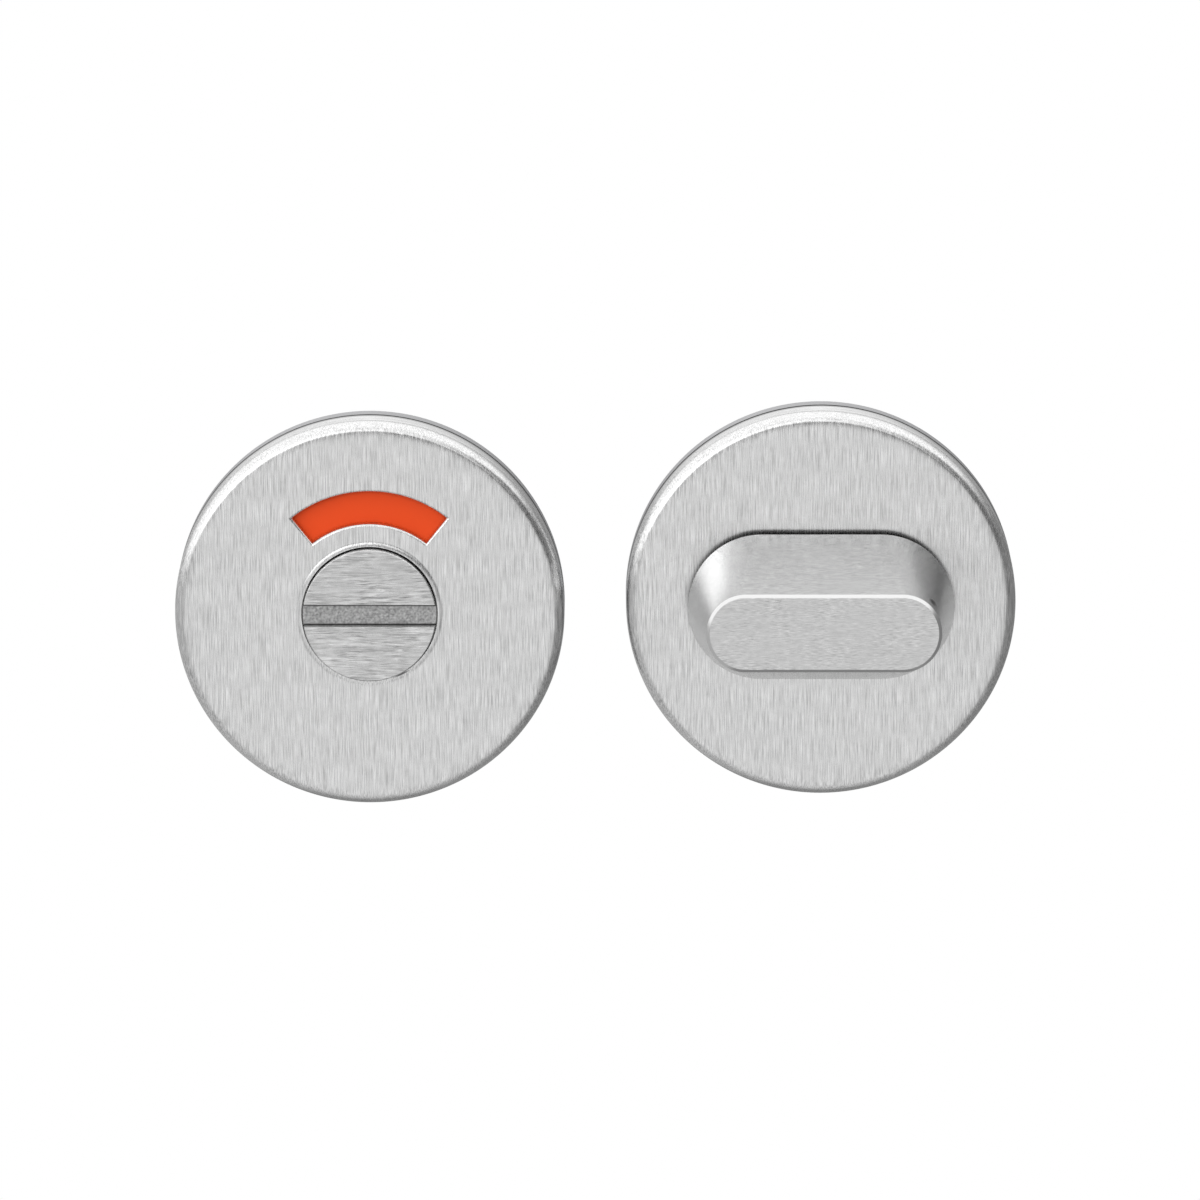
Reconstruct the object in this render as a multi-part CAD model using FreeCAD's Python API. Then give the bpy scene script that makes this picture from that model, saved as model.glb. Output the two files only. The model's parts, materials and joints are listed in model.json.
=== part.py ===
import FreeCAD, Part
import math
import os

from FreeCAD import Vector

# Bathroom thumb turn lock: two round roses that bolt together through a door.
# The release half goes outside, with a coin slot and an indicator behind a window.
# The turn half goes inside, with a thumb turn on the square spindle that joins the halves.
# Each piece is drawn about the axis of its own rose, standing on the door's face:
# x to the right, y up and z out of the door. It is then set on the door's face at y = 0,
# with +Z up and its front to -Y. Sizes are in millimetres and angles in degrees.

# Layout of the two halves side by side, the release half to the left and a little lower
HALVES_GAP = 8.2
HALVES_DROP = 1.3

# Rose cover, a pressed shell that snaps over its base
ROSE_RADIUS = 26.0
ROSE_DEPTH = 8.5
COVER_WALL = 1.2
COVER_EDGE_ROUND = 1.5
COVER_SLIP = 0.1
SEAM_STEP = 0.25
SEAM_DEPTH = 0.6
HEAD_GAP = 0.2

# Window in the release cover
WINDOW_INNER_RADIUS = 12.2
WINDOW_OUTER_RADIUS = 16.5
WINDOW_HALF_ANGLE = 38.5

# Die-cast base of each half
BASE_FLANGE = 3.0
BASE_WEB = 2.0
BASE_RIM_WALL = 2.3
BASE_EDGE_CHAMFER = 0.5
BOSS_RADIUS = 13.5
RIB_COUNT = 8
RIB_WIDTH = 1.2
RIB_SETBACK = 0.4
WELD = 0.5

# Fixings of each half, set in from the edge of the base's register
BOLT_INSET = 5.7
SCREW_INSET = 5.7
PILLAR_RADIUS = 5.0
SCREW_PILLAR_RADIUS = 4.4
SCREW_HOLE_RADIUS = 2.1
SCREW_SINK_RADIUS = 3.9
LUG_RADIUS = 3.6
LUG_LENGTH = 8.0
LUG_HOLE_RADIUS = 1.7
LUG_HOLE_DEPTH = 10.5

# Bolts that join the halves through the door
BOLT_NECK_RADIUS = 2.0
BOLT_NECK_PROUD = 0.4
BOLT_THREAD_RADIUS = 1.95
BOLT_CLEARANCE = 0.2
BOLT_REACH = 37.0
BOLT_TIP_CHAMFER = 0.5
BOLT_HEAD_RADIUS = 3.75
BOLT_HEAD_HEIGHT = 2.2
BOLT_HEAD_CHAMFER = 0.7
BOLT_HEAD_CLEARANCE = 0.2
RECESS_SPAN = 4.0
RECESS_WIDTH = 0.9
RECESS_DEPTH = 1.2

# Clip ring of square wire between cover and base
CLIP_WIRE = 0.8
CLIP_CLEARANCE = 0.05
CLIP_BITE = 0.3
CLIP_GAP_ANGLE = 24.0

# Stem that both the head and the turn carry
STEM_RADIUS = 5.0
STEM_FLATS = 8.4
STEM_TAIL = 0.9
SHOULDER_GAP = 0.05
SOCKET_WIDTH = 5.1

# Nylon bush in the base
BUSH_LENGTH = 2.9
BUSH_WALL = 1.15
BUSH_RUNNING_GAP = 0.05
BUSH_SEAT_GAP = 0.02
BUSH_FLANGE_RADIUS = 8.0
BUSH_FLANGE = 0.5

# Wave washer between base and stop cam
WASHER_INNER_GAP = 0.3
WASHER_OUTER_RADIUS = 8.0
WASHER_THICKNESS = 0.3
WAVE_HEIGHT = 0.35
WAVE_COUNT = 3
WAVE_POINTS = 8
WASHER_GAP = 0.05

# Stop cam and the quarter-turn pocket it runs in
CAM_RADIUS = 8.2
CAM_THICKNESS = 1.0
CAM_TAB_REACH = 3.0
CAM_TAB_HALF_ANGLE = 15.0
CAM_FIT = 0.02
CAM_GAP = 0.4
STOP_PLAY_ANGLE = 0.5
STOP_POCKET_ROOF = 0.25
QUARTER_TURN = 90.0
STOP_MIDDLE_ANGLE = -90.0

# Circlip in the stem's groove
CIRCLIP_THICKNESS = 1.0
CIRCLIP_GROOVE_DEPTH = 0.3
CIRCLIP_GROOVE_PLAY = 0.1
CIRCLIP_FIT = 0.02
CIRCLIP_BAND = 1.2
CIRCLIP_OFFSET = 0.35
CIRCLIP_GAP_HALF_ANGLE = 13.0
CIRCLIP_EAR_RADIUS = 1.2
CIRCLIP_EAR_SETBACK = 6.5
CIRCLIP_EAR_ANGLE = 24.0
CIRCLIP_HOLE_RADIUS = 0.5

# Indicator disc, with its red film, under the window
DISC_RADIUS = 18.3
DISC_THICKNESS = 0.75
DISC_BACK_GAP = 0.6
DISC_FIT = 0.02
FILM_THICKNESS = 0.15
FILM_INNER_RADIUS = 10.8
FILM_OUTER_RADIUS = 17.8
FILM_HALF_ANGLE = 45.0
FILM_COVER_GAP = 0.3
KEY_RADIUS = 6.0
KEY_FLATS = 10.0

# Release head
HEAD_RADIUS = 8.9
HEAD_PROUD = 1.5
HEAD_CHAMFER = 0.2
COIN_SLOT_WIDTH = 3.0
COIN_SLOT_DEPTH = 1.6
RELEASE_SOCKET_DEPTH = 7.6

# Thumb turn grip, wider at its back than at its front
GRIP_STAND_OFF = 1.5
GRIP_HEIGHT = 19.0
GRIP_BACK_LENGTH = 35.5
GRIP_BACK_WIDTH = 19.6
GRIP_FRONT_LENGTH = 31.0
GRIP_FRONT_WIDTH = 10.4
GRIP_FRONT_CHAMFER = 0.5
GRIP_BACK_CHAMFER = 0.3

# Square spindle and its cross pin
SPINDLE_WIDTH = 5.0
SPINDLE_REACH = 46.0
SPINDLE_FRONT_LAND = 1.7
SPINDLE_TIP_CHAMFER = 0.6
SPINDLE_END_GAP = 0.2
PIN_RADIUS = 0.75
PIN_FIT = 0.02
PIN_END_INSET = 0.9

# Heights and radii that follow from the sizes above
COVER_INNER_FACE = ROSE_DEPTH - COVER_WALL
COVER_INNER_RADIUS = ROSE_RADIUS - COVER_WALL
COVER_BORE_RADIUS = HEAD_RADIUS + HEAD_GAP
REGISTER_RADIUS = COVER_INNER_RADIUS - COVER_SLIP
BOLT_CIRCLE_RADIUS = REGISTER_RADIUS - BOLT_INSET
SCREW_CIRCLE_RADIUS = REGISTER_RADIUS - SCREW_INSET
DISC_FRONT = COVER_INNER_FACE - FILM_COVER_GAP - FILM_THICKNESS
DISC_BACK = DISC_FRONT - DISC_THICKNESS
BUSH_FRONT = DISC_BACK - DISC_BACK_GAP
BASE_FRONT = BUSH_FRONT - BUSH_FLANGE
WEB_BACK = BASE_FRONT - BASE_WEB
RECESS_FLOOR = BASE_FRONT - BUSH_LENGTH
SHOULDER = BUSH_FRONT + SHOULDER_GAP
BUSH_INNER_RADIUS = STEM_RADIUS + BUSH_RUNNING_GAP
BUSH_OUTER_RADIUS = BUSH_INNER_RADIUS + BUSH_WALL
WASHER_FRONT = RECESS_FLOOR - WASHER_GAP
WASHER_BACK = WASHER_FRONT - WASHER_THICKNESS - WAVE_HEIGHT
CAM_FRONT = WASHER_BACK - WASHER_GAP
CAM_BACK = CAM_FRONT - CAM_THICKNESS
CIRCLIP_BACK = CAM_BACK - CIRCLIP_THICKNESS
GROOVE_BACK = CIRCLIP_BACK - CIRCLIP_GROOVE_PLAY
GROOVE_RADIUS = STEM_RADIUS - CIRCLIP_GROOVE_DEPTH
STEM_END = GROOVE_BACK - STEM_TAIL
RECESS_RADIUS = CAM_RADIUS + CAM_GAP
TAB_RADIUS = CAM_RADIUS + CAM_TAB_REACH
STOP_POCKET_RADIUS = TAB_RADIUS + CAM_GAP
STOP_POCKET_TOP = CAM_FRONT + STOP_POCKET_ROOF
CLIP_OUTER_RADIUS = COVER_INNER_RADIUS + CLIP_BITE - CLIP_CLEARANCE
CLIP_INNER_RADIUS = CLIP_OUTER_RADIUS - CLIP_WIRE
CLIP_HEIGHT = (BASE_FLANGE + BASE_FRONT) / 2
HEAD_FRONT = ROSE_DEPTH + HEAD_PROUD
GRIP_BACK = ROSE_DEPTH + GRIP_STAND_OFF
GRIP_FRONT = GRIP_BACK + GRIP_HEIGHT
PIN_HEIGHT = (SHOULDER + COVER_INNER_FACE) / 2
SPINDLE_FRONT = PIN_HEIGHT + SPINDLE_FRONT_LAND
BOLT_SEAT = BASE_FRONT - BOLT_HEAD_HEIGHT - BOLT_HEAD_CLEARANCE
TURN_CENTRE = Vector(0, 0, 0)
RELEASE_CENTRE = Vector(-2 * ROSE_RADIUS - HALVES_GAP, 0, -HALVES_DROP)
UP = Vector(0, 0, 1)
ORIGIN = Vector(0, 0, 0)

# Working value: a length beyond any piece
FAR = 4 * ROSE_RADIUS


def polar(radius, angle, height=0.0):
    """Point at a radius and an angle about the rose's axis."""
    turn = math.radians(angle)
    return Vector(radius * math.cos(turn), radius * math.sin(turn), height)


def cylinder(radius, low, high, x=0.0, y=0.0):
    """Cylinder along z between two heights."""
    return Part.makeCylinder(radius, high - low, Vector(x, y, low), UP)


def ring(inner, outer, low, high):
    """Plain ring between two radii and two heights."""
    return cylinder(outer, low, high).cut(cylinder(inner, low - WELD, high + WELD))


def block(length, width, low, high):
    """Block centred on the axis, between two heights."""
    corner = Vector(-length / 2, -width / 2, low)
    return Part.makeBox(length, width, high - low, corner)


def double_d(radius, flats, low, high):
    """Round bar with two flats, which face up and down."""
    return cylinder(radius, low, high).common(block(FAR, flats, low, high))


def sector(inner, outer, low, high, middle, half_angle):
    """Part of a ring, between two angles about its middle one."""
    start, end = middle - half_angle, middle + half_angle
    edges = [
        Part.Arc(polar(outer, start, low), polar(outer, middle, low), polar(outer, end, low)),
        Part.LineSegment(polar(outer, end, low), polar(inner, end, low)),
        Part.Arc(polar(inner, end, low), polar(inner, middle, low), polar(inner, start, low)),
        Part.LineSegment(polar(inner, start, low), polar(outer, start, low)),
    ]
    wire = Part.Wire([edge.toShape() for edge in edges])
    return Part.Face(wire).extrude(Vector(0, 0, high - low))


def corner_ends(before, corner, after, radius):
    """Where a rounded corner starts, its middle, and where it ends."""
    back = (before - corner).normalize()
    ahead = (after - corner).normalize()
    half = back.getAngle(ahead) / 2
    reach = radius / math.tan(half)
    inward = (back + ahead).normalize()
    middle = corner + inward * (radius / math.sin(half) - radius)
    return corner + back * reach, middle, corner + ahead * reach


def turned(corners):
    """Solid turned about the axis from (radius, height, round) corners, in order."""
    points = [Vector(radius, 0, height) for radius, height, _ in corners]
    starts, ends, edges = [], [], []
    for index, (_, _, corner_round) in enumerate(corners):
        corner = points[index]
        if corner_round <= 0:
            starts.append(corner)
            ends.append(corner)
            continue
        after = points[(index + 1) % len(points)]
        start, middle, end = corner_ends(points[index - 1], corner, after, corner_round)
        edges.append(Part.Arc(start, middle, end).toShape())
        starts.append(start)
        ends.append(end)
    for index, end in enumerate(ends):
        start = starts[(index + 1) % len(starts)]
        edges.append(Part.LineSegment(end, start).toShape())
    wire = Part.Wire(Part.__sortEdges__(edges))
    return Part.Face(wire).revolve(ORIGIN, UP, 360)


def clip_groove(inner, outer):
    """Ring of space for the clip ring, between two radii."""
    half = CLIP_WIRE / 2 + CLIP_CLEARANCE
    return ring(inner, outer, CLIP_HEIGHT - half, CLIP_HEIGHT + half)


def cover():
    """Pressed rose cover: a rounded front edge, a bore, a shadow line at the seam and a clip groove."""
    shell = turned([
        (COVER_BORE_RADIUS, COVER_INNER_FACE, 0),
        (COVER_INNER_RADIUS, COVER_INNER_FACE, 0),
        (COVER_INNER_RADIUS, BASE_FLANGE, 0),
        (ROSE_RADIUS - SEAM_DEPTH, BASE_FLANGE, 0),
        (ROSE_RADIUS - SEAM_DEPTH, BASE_FLANGE + SEAM_STEP, 0),
        (ROSE_RADIUS, BASE_FLANGE + SEAM_STEP, 0),
        (ROSE_RADIUS, ROSE_DEPTH, COVER_EDGE_ROUND),
        (COVER_BORE_RADIUS, ROSE_DEPTH, 0),
    ])
    return shell.cut(clip_groove(COVER_INNER_RADIUS - WELD, COVER_INNER_RADIUS + CLIP_BITE))


def release_cover():
    """Rose cover with the indicator's window, a curved slot about twelve o'clock."""
    window = sector(
        WINDOW_INNER_RADIUS, WINDOW_OUTER_RADIUS,
        COVER_INNER_FACE - WELD, ROSE_DEPTH + WELD,
        90.0, WINDOW_HALF_ANGLE,
    )
    return cover().cut(window)


def base_plate():
    """Die-cast plate: flange, register for the cover, web, bearing boss and back pocket."""
    pocket_radius = REGISTER_RADIUS - BASE_RIM_WALL
    plate = turned([
        (BUSH_OUTER_RADIUS + BUSH_SEAT_GAP, RECESS_FLOOR, 0),
        (BUSH_OUTER_RADIUS + BUSH_SEAT_GAP, BASE_FRONT, 0),
        (REGISTER_RADIUS - BASE_EDGE_CHAMFER, BASE_FRONT, 0),
        (REGISTER_RADIUS, BASE_FRONT - BASE_EDGE_CHAMFER, 0),
        (REGISTER_RADIUS, BASE_FLANGE, 0),
        (ROSE_RADIUS - SEAM_DEPTH, BASE_FLANGE, 0),
        (ROSE_RADIUS - SEAM_DEPTH, BASE_FLANGE - SEAM_STEP, 0),
        (ROSE_RADIUS, BASE_FLANGE - SEAM_STEP, 0),
        (ROSE_RADIUS, 0, 0),
        (pocket_radius, 0, 0),
        (pocket_radius, WEB_BACK, 0),
        (BOSS_RADIUS, WEB_BACK, 0),
        (BOSS_RADIUS, 0, 0),
        (RECESS_RADIUS, 0, 0),
        (RECESS_RADIUS, RECESS_FLOOR, 0),
    ])
    added = []
    for index in range(RIB_COUNT):
        angle = 360.0 * (index + 0.5) / RIB_COUNT
        length = pocket_radius - BOSS_RADIUS + 2 * WELD
        rib = Part.makeBox(
            length, RIB_WIDTH, WEB_BACK + WELD - RIB_SETBACK,
            Vector(BOSS_RADIUS - WELD, -RIB_WIDTH / 2, RIB_SETBACK),
        )
        rib.rotate(ORIGIN, UP, angle)
        added.append(rib)
    for side in (-1, 1):
        y = side * SCREW_CIRCLE_RADIUS
        added.append(cylinder(SCREW_PILLAR_RADIUS, 0, WEB_BACK + WELD, 0, y))
    return plate.fuse(added)


def finish_base(plate):
    """Cut the clip groove, the screw holes and the pocket that the stop cam's tab runs in."""
    cuts = [clip_groove(CLIP_INNER_RADIUS - CLIP_CLEARANCE, REGISTER_RADIUS + WELD)]
    half_angle = QUARTER_TURN / 2 + CAM_TAB_HALF_ANGLE + STOP_PLAY_ANGLE
    cuts.append(sector(
        RECESS_RADIUS - WELD, STOP_POCKET_RADIUS, -WELD, STOP_POCKET_TOP,
        STOP_MIDDLE_ANGLE, half_angle,
    ))
    sink = SCREW_SINK_RADIUS - SCREW_HOLE_RADIUS
    for side in (-1, 1):
        y = side * SCREW_CIRCLE_RADIUS
        cuts.append(cylinder(SCREW_HOLE_RADIUS, -WELD, BASE_FRONT + WELD, 0, y))
        cuts.append(Part.makeCone(
            SCREW_HOLE_RADIUS, SCREW_SINK_RADIUS, sink, Vector(0, y, BASE_FRONT - sink), UP,
        ))
    return plate.cut(cuts).removeSplitter()


def release_base():
    """Base of the release half, with two tapped lugs that reach into the door."""
    plate = base_plate()
    lugs, holes = [], []
    for side in (-1, 1):
        x = side * BOLT_CIRCLE_RADIUS
        lugs.append(cylinder(PILLAR_RADIUS, 0, WEB_BACK + WELD, x))
        lugs.append(cylinder(LUG_RADIUS, -LUG_LENGTH, WELD, x))
        holes.append(cylinder(LUG_HOLE_RADIUS, -LUG_LENGTH - WELD, LUG_HOLE_DEPTH - LUG_LENGTH, x))
    return finish_base(plate.fuse(lugs).cut(holes))


def turn_base():
    """Base of the turn half, with two pillars counterbored for the bolts' heads."""
    plate = base_plate()
    pillars, holes = [], []
    for side in (-1, 1):
        x = side * BOLT_CIRCLE_RADIUS
        pillars.append(cylinder(PILLAR_RADIUS, 0, WEB_BACK + WELD, x))
        holes.append(cylinder(BOLT_NECK_RADIUS + BOLT_CLEARANCE, -WELD, BASE_FRONT + WELD, x))
        head_hole = BOLT_HEAD_RADIUS + BOLT_HEAD_CLEARANCE
        holes.append(cylinder(head_hole, BOLT_SEAT, BASE_FRONT + WELD, x))
    return finish_base(plate.fuse(pillars).cut(holes))


def bush():
    """Flanged nylon bush, pushed into the base from the front."""
    return turned([
        (BUSH_INNER_RADIUS, RECESS_FLOOR, 0),
        (BUSH_OUTER_RADIUS, RECESS_FLOOR, 0),
        (BUSH_OUTER_RADIUS, BASE_FRONT, 0),
        (BUSH_FLANGE_RADIUS, BASE_FRONT, 0),
        (BUSH_FLANGE_RADIUS, BUSH_FRONT, 0),
        (BUSH_INNER_RADIUS, BUSH_FRONT, 0),
    ])


def clip_ring():
    """Open ring of square spring wire that sits half in the base and half in the cover."""
    return sector(
        CLIP_INNER_RADIUS, CLIP_OUTER_RADIUS,
        CLIP_HEIGHT - CLIP_WIRE / 2, CLIP_HEIGHT + CLIP_WIRE / 2,
        -90, 180 - CLIP_GAP_ANGLE / 2,
    )


def stem():
    """Stem behind the shoulder, with flats for the stop cam and a groove for the circlip."""
    journal = cylinder(STEM_RADIUS, WASHER_BACK, SHOULDER + WELD)
    bar = journal.fuse(double_d(STEM_RADIUS, STEM_FLATS, STEM_END, WASHER_BACK))
    return bar.cut(ring(GROOVE_RADIUS, STEM_RADIUS + WELD, GROOVE_BACK, CAM_BACK))


def socket(depth):
    """Square space for the spindle, up from the stem's end."""
    return block(SOCKET_WIDTH, SOCKET_WIDTH, STEM_END - WELD, STEM_END + depth)


def release_head():
    """Turned head with a coin slot, a key for the indicator disc, and its stem."""
    head = turned([
        (0, DISC_FRONT, 0),
        (HEAD_RADIUS, DISC_FRONT, 0),
        (HEAD_RADIUS, HEAD_FRONT - HEAD_CHAMFER, 0),
        (HEAD_RADIUS - HEAD_CHAMFER, HEAD_FRONT, 0),
        (0, HEAD_FRONT, 0),
    ])
    key = double_d(KEY_RADIUS, KEY_FLATS, SHOULDER, DISC_FRONT + WELD)
    slot = block(FAR, COIN_SLOT_WIDTH, HEAD_FRONT - COIN_SLOT_DEPTH, HEAD_FRONT + WELD)
    solid = head.fuse([key, stem()])
    return solid.cut([slot, socket(RELEASE_SOCKET_DEPTH)]).removeSplitter()


def stadium(length, width, height):
    """Wire with two straight sides and two round ends, at one height."""
    radius = width / 2
    reach = length / 2 - radius
    edges = [
        Part.LineSegment(Vector(-reach, -radius, height), Vector(reach, -radius, height)),
        Part.Arc(Vector(reach, -radius, height), Vector(length / 2, 0, height),
                 Vector(reach, radius, height)),
        Part.LineSegment(Vector(reach, radius, height), Vector(-reach, radius, height)),
        Part.Arc(Vector(-reach, radius, height), Vector(-length / 2, 0, height),
                 Vector(-reach, -radius, height)),
    ]
    return Part.Wire([edge.toShape() for edge in edges])


def square(width, height):
    """Square wire about the axis, at one height."""
    half = width / 2
    corners = [(half, half), (-half, half), (-half, -half), (half, -half), (half, half)]
    return Part.makePolygon([Vector(x, y, height) for x, y in corners])


def grip():
    """Grip with flat sloping sides, round tapering ends and both rims chamfered."""
    back, front = GRIP_BACK_CHAMFER, GRIP_FRONT_CHAMFER
    sections = [
        stadium(GRIP_BACK_LENGTH - 2 * back, GRIP_BACK_WIDTH - 2 * back, GRIP_BACK),
        stadium(GRIP_BACK_LENGTH, GRIP_BACK_WIDTH, GRIP_BACK + back),
        stadium(GRIP_FRONT_LENGTH, GRIP_FRONT_WIDTH, GRIP_FRONT - front),
        stadium(GRIP_FRONT_LENGTH - 2 * front, GRIP_FRONT_WIDTH - 2 * front, GRIP_FRONT),
    ]
    return Part.makeLoft(sections, True, True)


def thumb_turn():
    """Thumb turn in one piece: grip, collar that runs in the cover's bore, and stem."""
    collar = cylinder(HEAD_RADIUS, SHOULDER, GRIP_BACK + WELD)
    solid = grip().fuse([collar, stem()])
    holes = [
        socket(SPINDLE_FRONT + SPINDLE_END_GAP - STEM_END),
        cross_bar(PIN_RADIUS + PIN_FIT, HEAD_RADIUS + WELD),
    ]
    return solid.cut(holes).removeSplitter()


def cross_bar(radius, reach):
    """Round bar across the axis at the pin's height."""
    return Part.makeCylinder(radius, 2 * reach, Vector(0, -reach, PIN_HEIGHT), Vector(0, 1, 0))


def spindle():
    """Square spindle, drilled for its pin and tapered at its free end."""
    tip_width = SPINDLE_WIDTH - 2 * SPINDLE_TIP_CHAMFER
    sections = [
        square(tip_width, -SPINDLE_REACH),
        square(SPINDLE_WIDTH, -SPINDLE_REACH + SPINDLE_TIP_CHAMFER),
        square(SPINDLE_WIDTH, SPINDLE_FRONT),
    ]
    bar = Part.makeLoft(sections, True, True)
    return bar.cut(cross_bar(PIN_RADIUS + PIN_FIT, SPINDLE_WIDTH))


def spindle_pin():
    """Pin through the turn's collar and the spindle."""
    return cross_bar(PIN_RADIUS, HEAD_RADIUS - PIN_END_INSET)


def stop_cam(tab_angle):
    """Flat washer with a tab, keyed to the stem's flats."""
    plate = cylinder(CAM_RADIUS, CAM_BACK, CAM_FRONT)
    tab = sector(
        CAM_RADIUS - WELD, TAB_RADIUS, CAM_BACK, CAM_FRONT, tab_angle, CAM_TAB_HALF_ANGLE,
    )
    hole = double_d(
        STEM_RADIUS + CAM_FIT, STEM_FLATS + 2 * CAM_FIT, CAM_BACK - WELD, CAM_FRONT + WELD,
    )
    return plate.fuse(tab).cut(hole).removeSplitter()


def wave_curve(radius, height):
    """Closed curve round the washer at one radius, rising and falling in equal waves."""
    count = WAVE_COUNT * WAVE_POINTS
    points = []
    for step in range(count):
        angle = 360.0 * step / count
        rise = WAVE_HEIGHT / 2 * math.cos(math.radians(WAVE_COUNT * angle))
        points.append(polar(radius, angle, height + rise))
    curve = Part.BSplineCurve()
    curve.interpolate(Points=points, PeriodicFlag=True)
    return curve.toShape()


def wave_washer():
    """Spring washer bent in waves, a ring of even thickness."""
    inner = STEM_RADIUS + WASHER_INNER_GAP
    low = WASHER_BACK + WAVE_HEIGHT / 2
    high = low + WASHER_THICKNESS
    rims = [
        wave_curve(inner, low), wave_curve(WASHER_OUTER_RADIUS, low),
        wave_curve(WASHER_OUTER_RADIUS, high), wave_curve(inner, high),
    ]
    faces = [Part.makeRuledSurface(rims[index - 1], rims[index]) for index in range(len(rims))]
    shell = Part.makeShell([face for strip in faces for face in strip.Faces])
    shell.sewShape()
    solid = Part.makeSolid(shell)
    if solid.Volume < 0:
        solid.reverse()
    return solid


def circlip():
    """External circlip: an open ring, thickest opposite its gap, with two drilled ears."""
    inner = GROOVE_RADIUS + CIRCLIP_FIT
    low, high = CIRCLIP_BACK, CAM_BACK
    band = cylinder(inner + CIRCLIP_BAND, low, high, 0, -CIRCLIP_OFFSET)
    ears, holes = [], []
    for side in (-1, 1):
        spot = polar(CIRCLIP_EAR_SETBACK, 90 + side * CIRCLIP_EAR_ANGLE)
        ears.append(cylinder(CIRCLIP_EAR_RADIUS, low, high, spot.x, spot.y))
        holes.append(cylinder(CIRCLIP_HOLE_RADIUS, low - WELD, high + WELD, spot.x, spot.y))
    holes.append(cylinder(inner, low - WELD, high + WELD))
    holes.append(sector(WELD, FAR, low - WELD, high + WELD, 90, CIRCLIP_GAP_HALF_ANGLE))
    return band.fuse(ears).cut(holes).removeSplitter()


def indicator_disc():
    """White plastic disc, keyed to the release head."""
    hole = double_d(
        KEY_RADIUS + DISC_FIT, KEY_FLATS + 2 * DISC_FIT, DISC_BACK - WELD, DISC_FRONT + WELD,
    )
    return cylinder(DISC_RADIUS, DISC_BACK, DISC_FRONT).cut(hole)


def indicator_red_film():
    """Two sectors of red film on the disc, at twelve and at six o'clock."""
    top = DISC_FRONT + FILM_THICKNESS
    return Part.makeCompound([
        sector(FILM_INNER_RADIUS, FILM_OUTER_RADIUS, DISC_FRONT, top, middle, FILM_HALF_ANGLE)
        for middle in (90, -90)
    ])


def through_bolt(x):
    """Machine bolt with a pan head, a cross recess and a plain neck, at one side of the rose."""
    top = BOLT_SEAT + BOLT_HEAD_HEIGHT
    bolt = turned([
        (0, -BOLT_REACH, 0),
        (BOLT_THREAD_RADIUS - BOLT_TIP_CHAMFER, -BOLT_REACH, 0),
        (BOLT_THREAD_RADIUS, -BOLT_REACH + BOLT_TIP_CHAMFER, 0),
        (BOLT_THREAD_RADIUS, -BOLT_NECK_PROUD, 0),
        (BOLT_NECK_RADIUS, -BOLT_NECK_PROUD, 0),
        (BOLT_NECK_RADIUS, BOLT_SEAT, 0),
        (BOLT_HEAD_RADIUS, BOLT_SEAT, 0),
        (BOLT_HEAD_RADIUS, top - BOLT_HEAD_CHAMFER, 0),
        (BOLT_HEAD_RADIUS - BOLT_HEAD_CHAMFER, top, 0),
        (0, top, 0),
    ])
    arms = [
        block(RECESS_SPAN, RECESS_WIDTH, top - RECESS_DEPTH, top + WELD),
        block(RECESS_WIDTH, RECESS_SPAN, top - RECESS_DEPTH, top + WELD),
    ]
    bolt = bolt.cut(arms)
    bolt.translate(Vector(x, 0, 0))
    return bolt


def through_bolts():
    """The two bolts of the turn half."""
    return Part.makeCompound([through_bolt(side * BOLT_CIRCLE_RADIUS) for side in (-1, 1)])


def on_door(shape, centre):
    """Set a piece on the door's face, about the centre of its half."""
    placed = shape.copy()
    placed.rotate(ORIGIN, Vector(1, 0, 0), 90)
    placed.translate(centre)
    return placed


def main():
    """Make every piece and write each to its own file."""
    quarter = QUARTER_TURN / 2
    release_half = {
        "release_cover": release_cover(),
        "release_base": release_base(),
        "release_bush": bush(),
        "release_clip_ring": clip_ring(),
        "release_head": release_head(),
        "indicator_disc": indicator_disc(),
        "indicator_red_film": indicator_red_film(),
        "release_wave_washer": wave_washer(),
        "release_stop_cam": stop_cam(STOP_MIDDLE_ANGLE + quarter),
        "release_circlip": circlip(),
    }
    turn_half = {
        "turn_cover": cover(),
        "turn_base": turn_base(),
        "turn_bush": bush(),
        "turn_clip_ring": clip_ring(),
        "thumb_turn": thumb_turn(),
        "turn_wave_washer": wave_washer(),
        "turn_stop_cam": stop_cam(STOP_MIDDLE_ANGLE - quarter),
        "turn_circlip": circlip(),
        "spindle": spindle(),
        "spindle_pin": spindle_pin(),
        "through_bolts": through_bolts(),
    }
    os.makedirs("parts", exist_ok=True)
    for pieces, centre in ((release_half, RELEASE_CENTRE), (turn_half, TURN_CENTRE)):
        for name, shape in pieces.items():
            on_door(shape, centre).exportStep("parts/" + name + ".step")


main()
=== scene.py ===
"""Bathroom thumb turn lock: the looks of every piece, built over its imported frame.

Two round satin steel roses stand side by side: the coin release with its indicator window, and the
thumb turn. Each piece is drawn in millimetres in its own rose's frame, with x to the right, y up and
z out of the door. It is then set in the object's frame in metres, and rides on its node's body.
"""

import json
import logging
import math
from collections.abc import Callable, Iterable, Mapping, Sequence
from dataclasses import dataclass, field
from enum import Enum
from typing import Any

import bmesh
import bpy
from mathutils import Matrix, Vector


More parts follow.
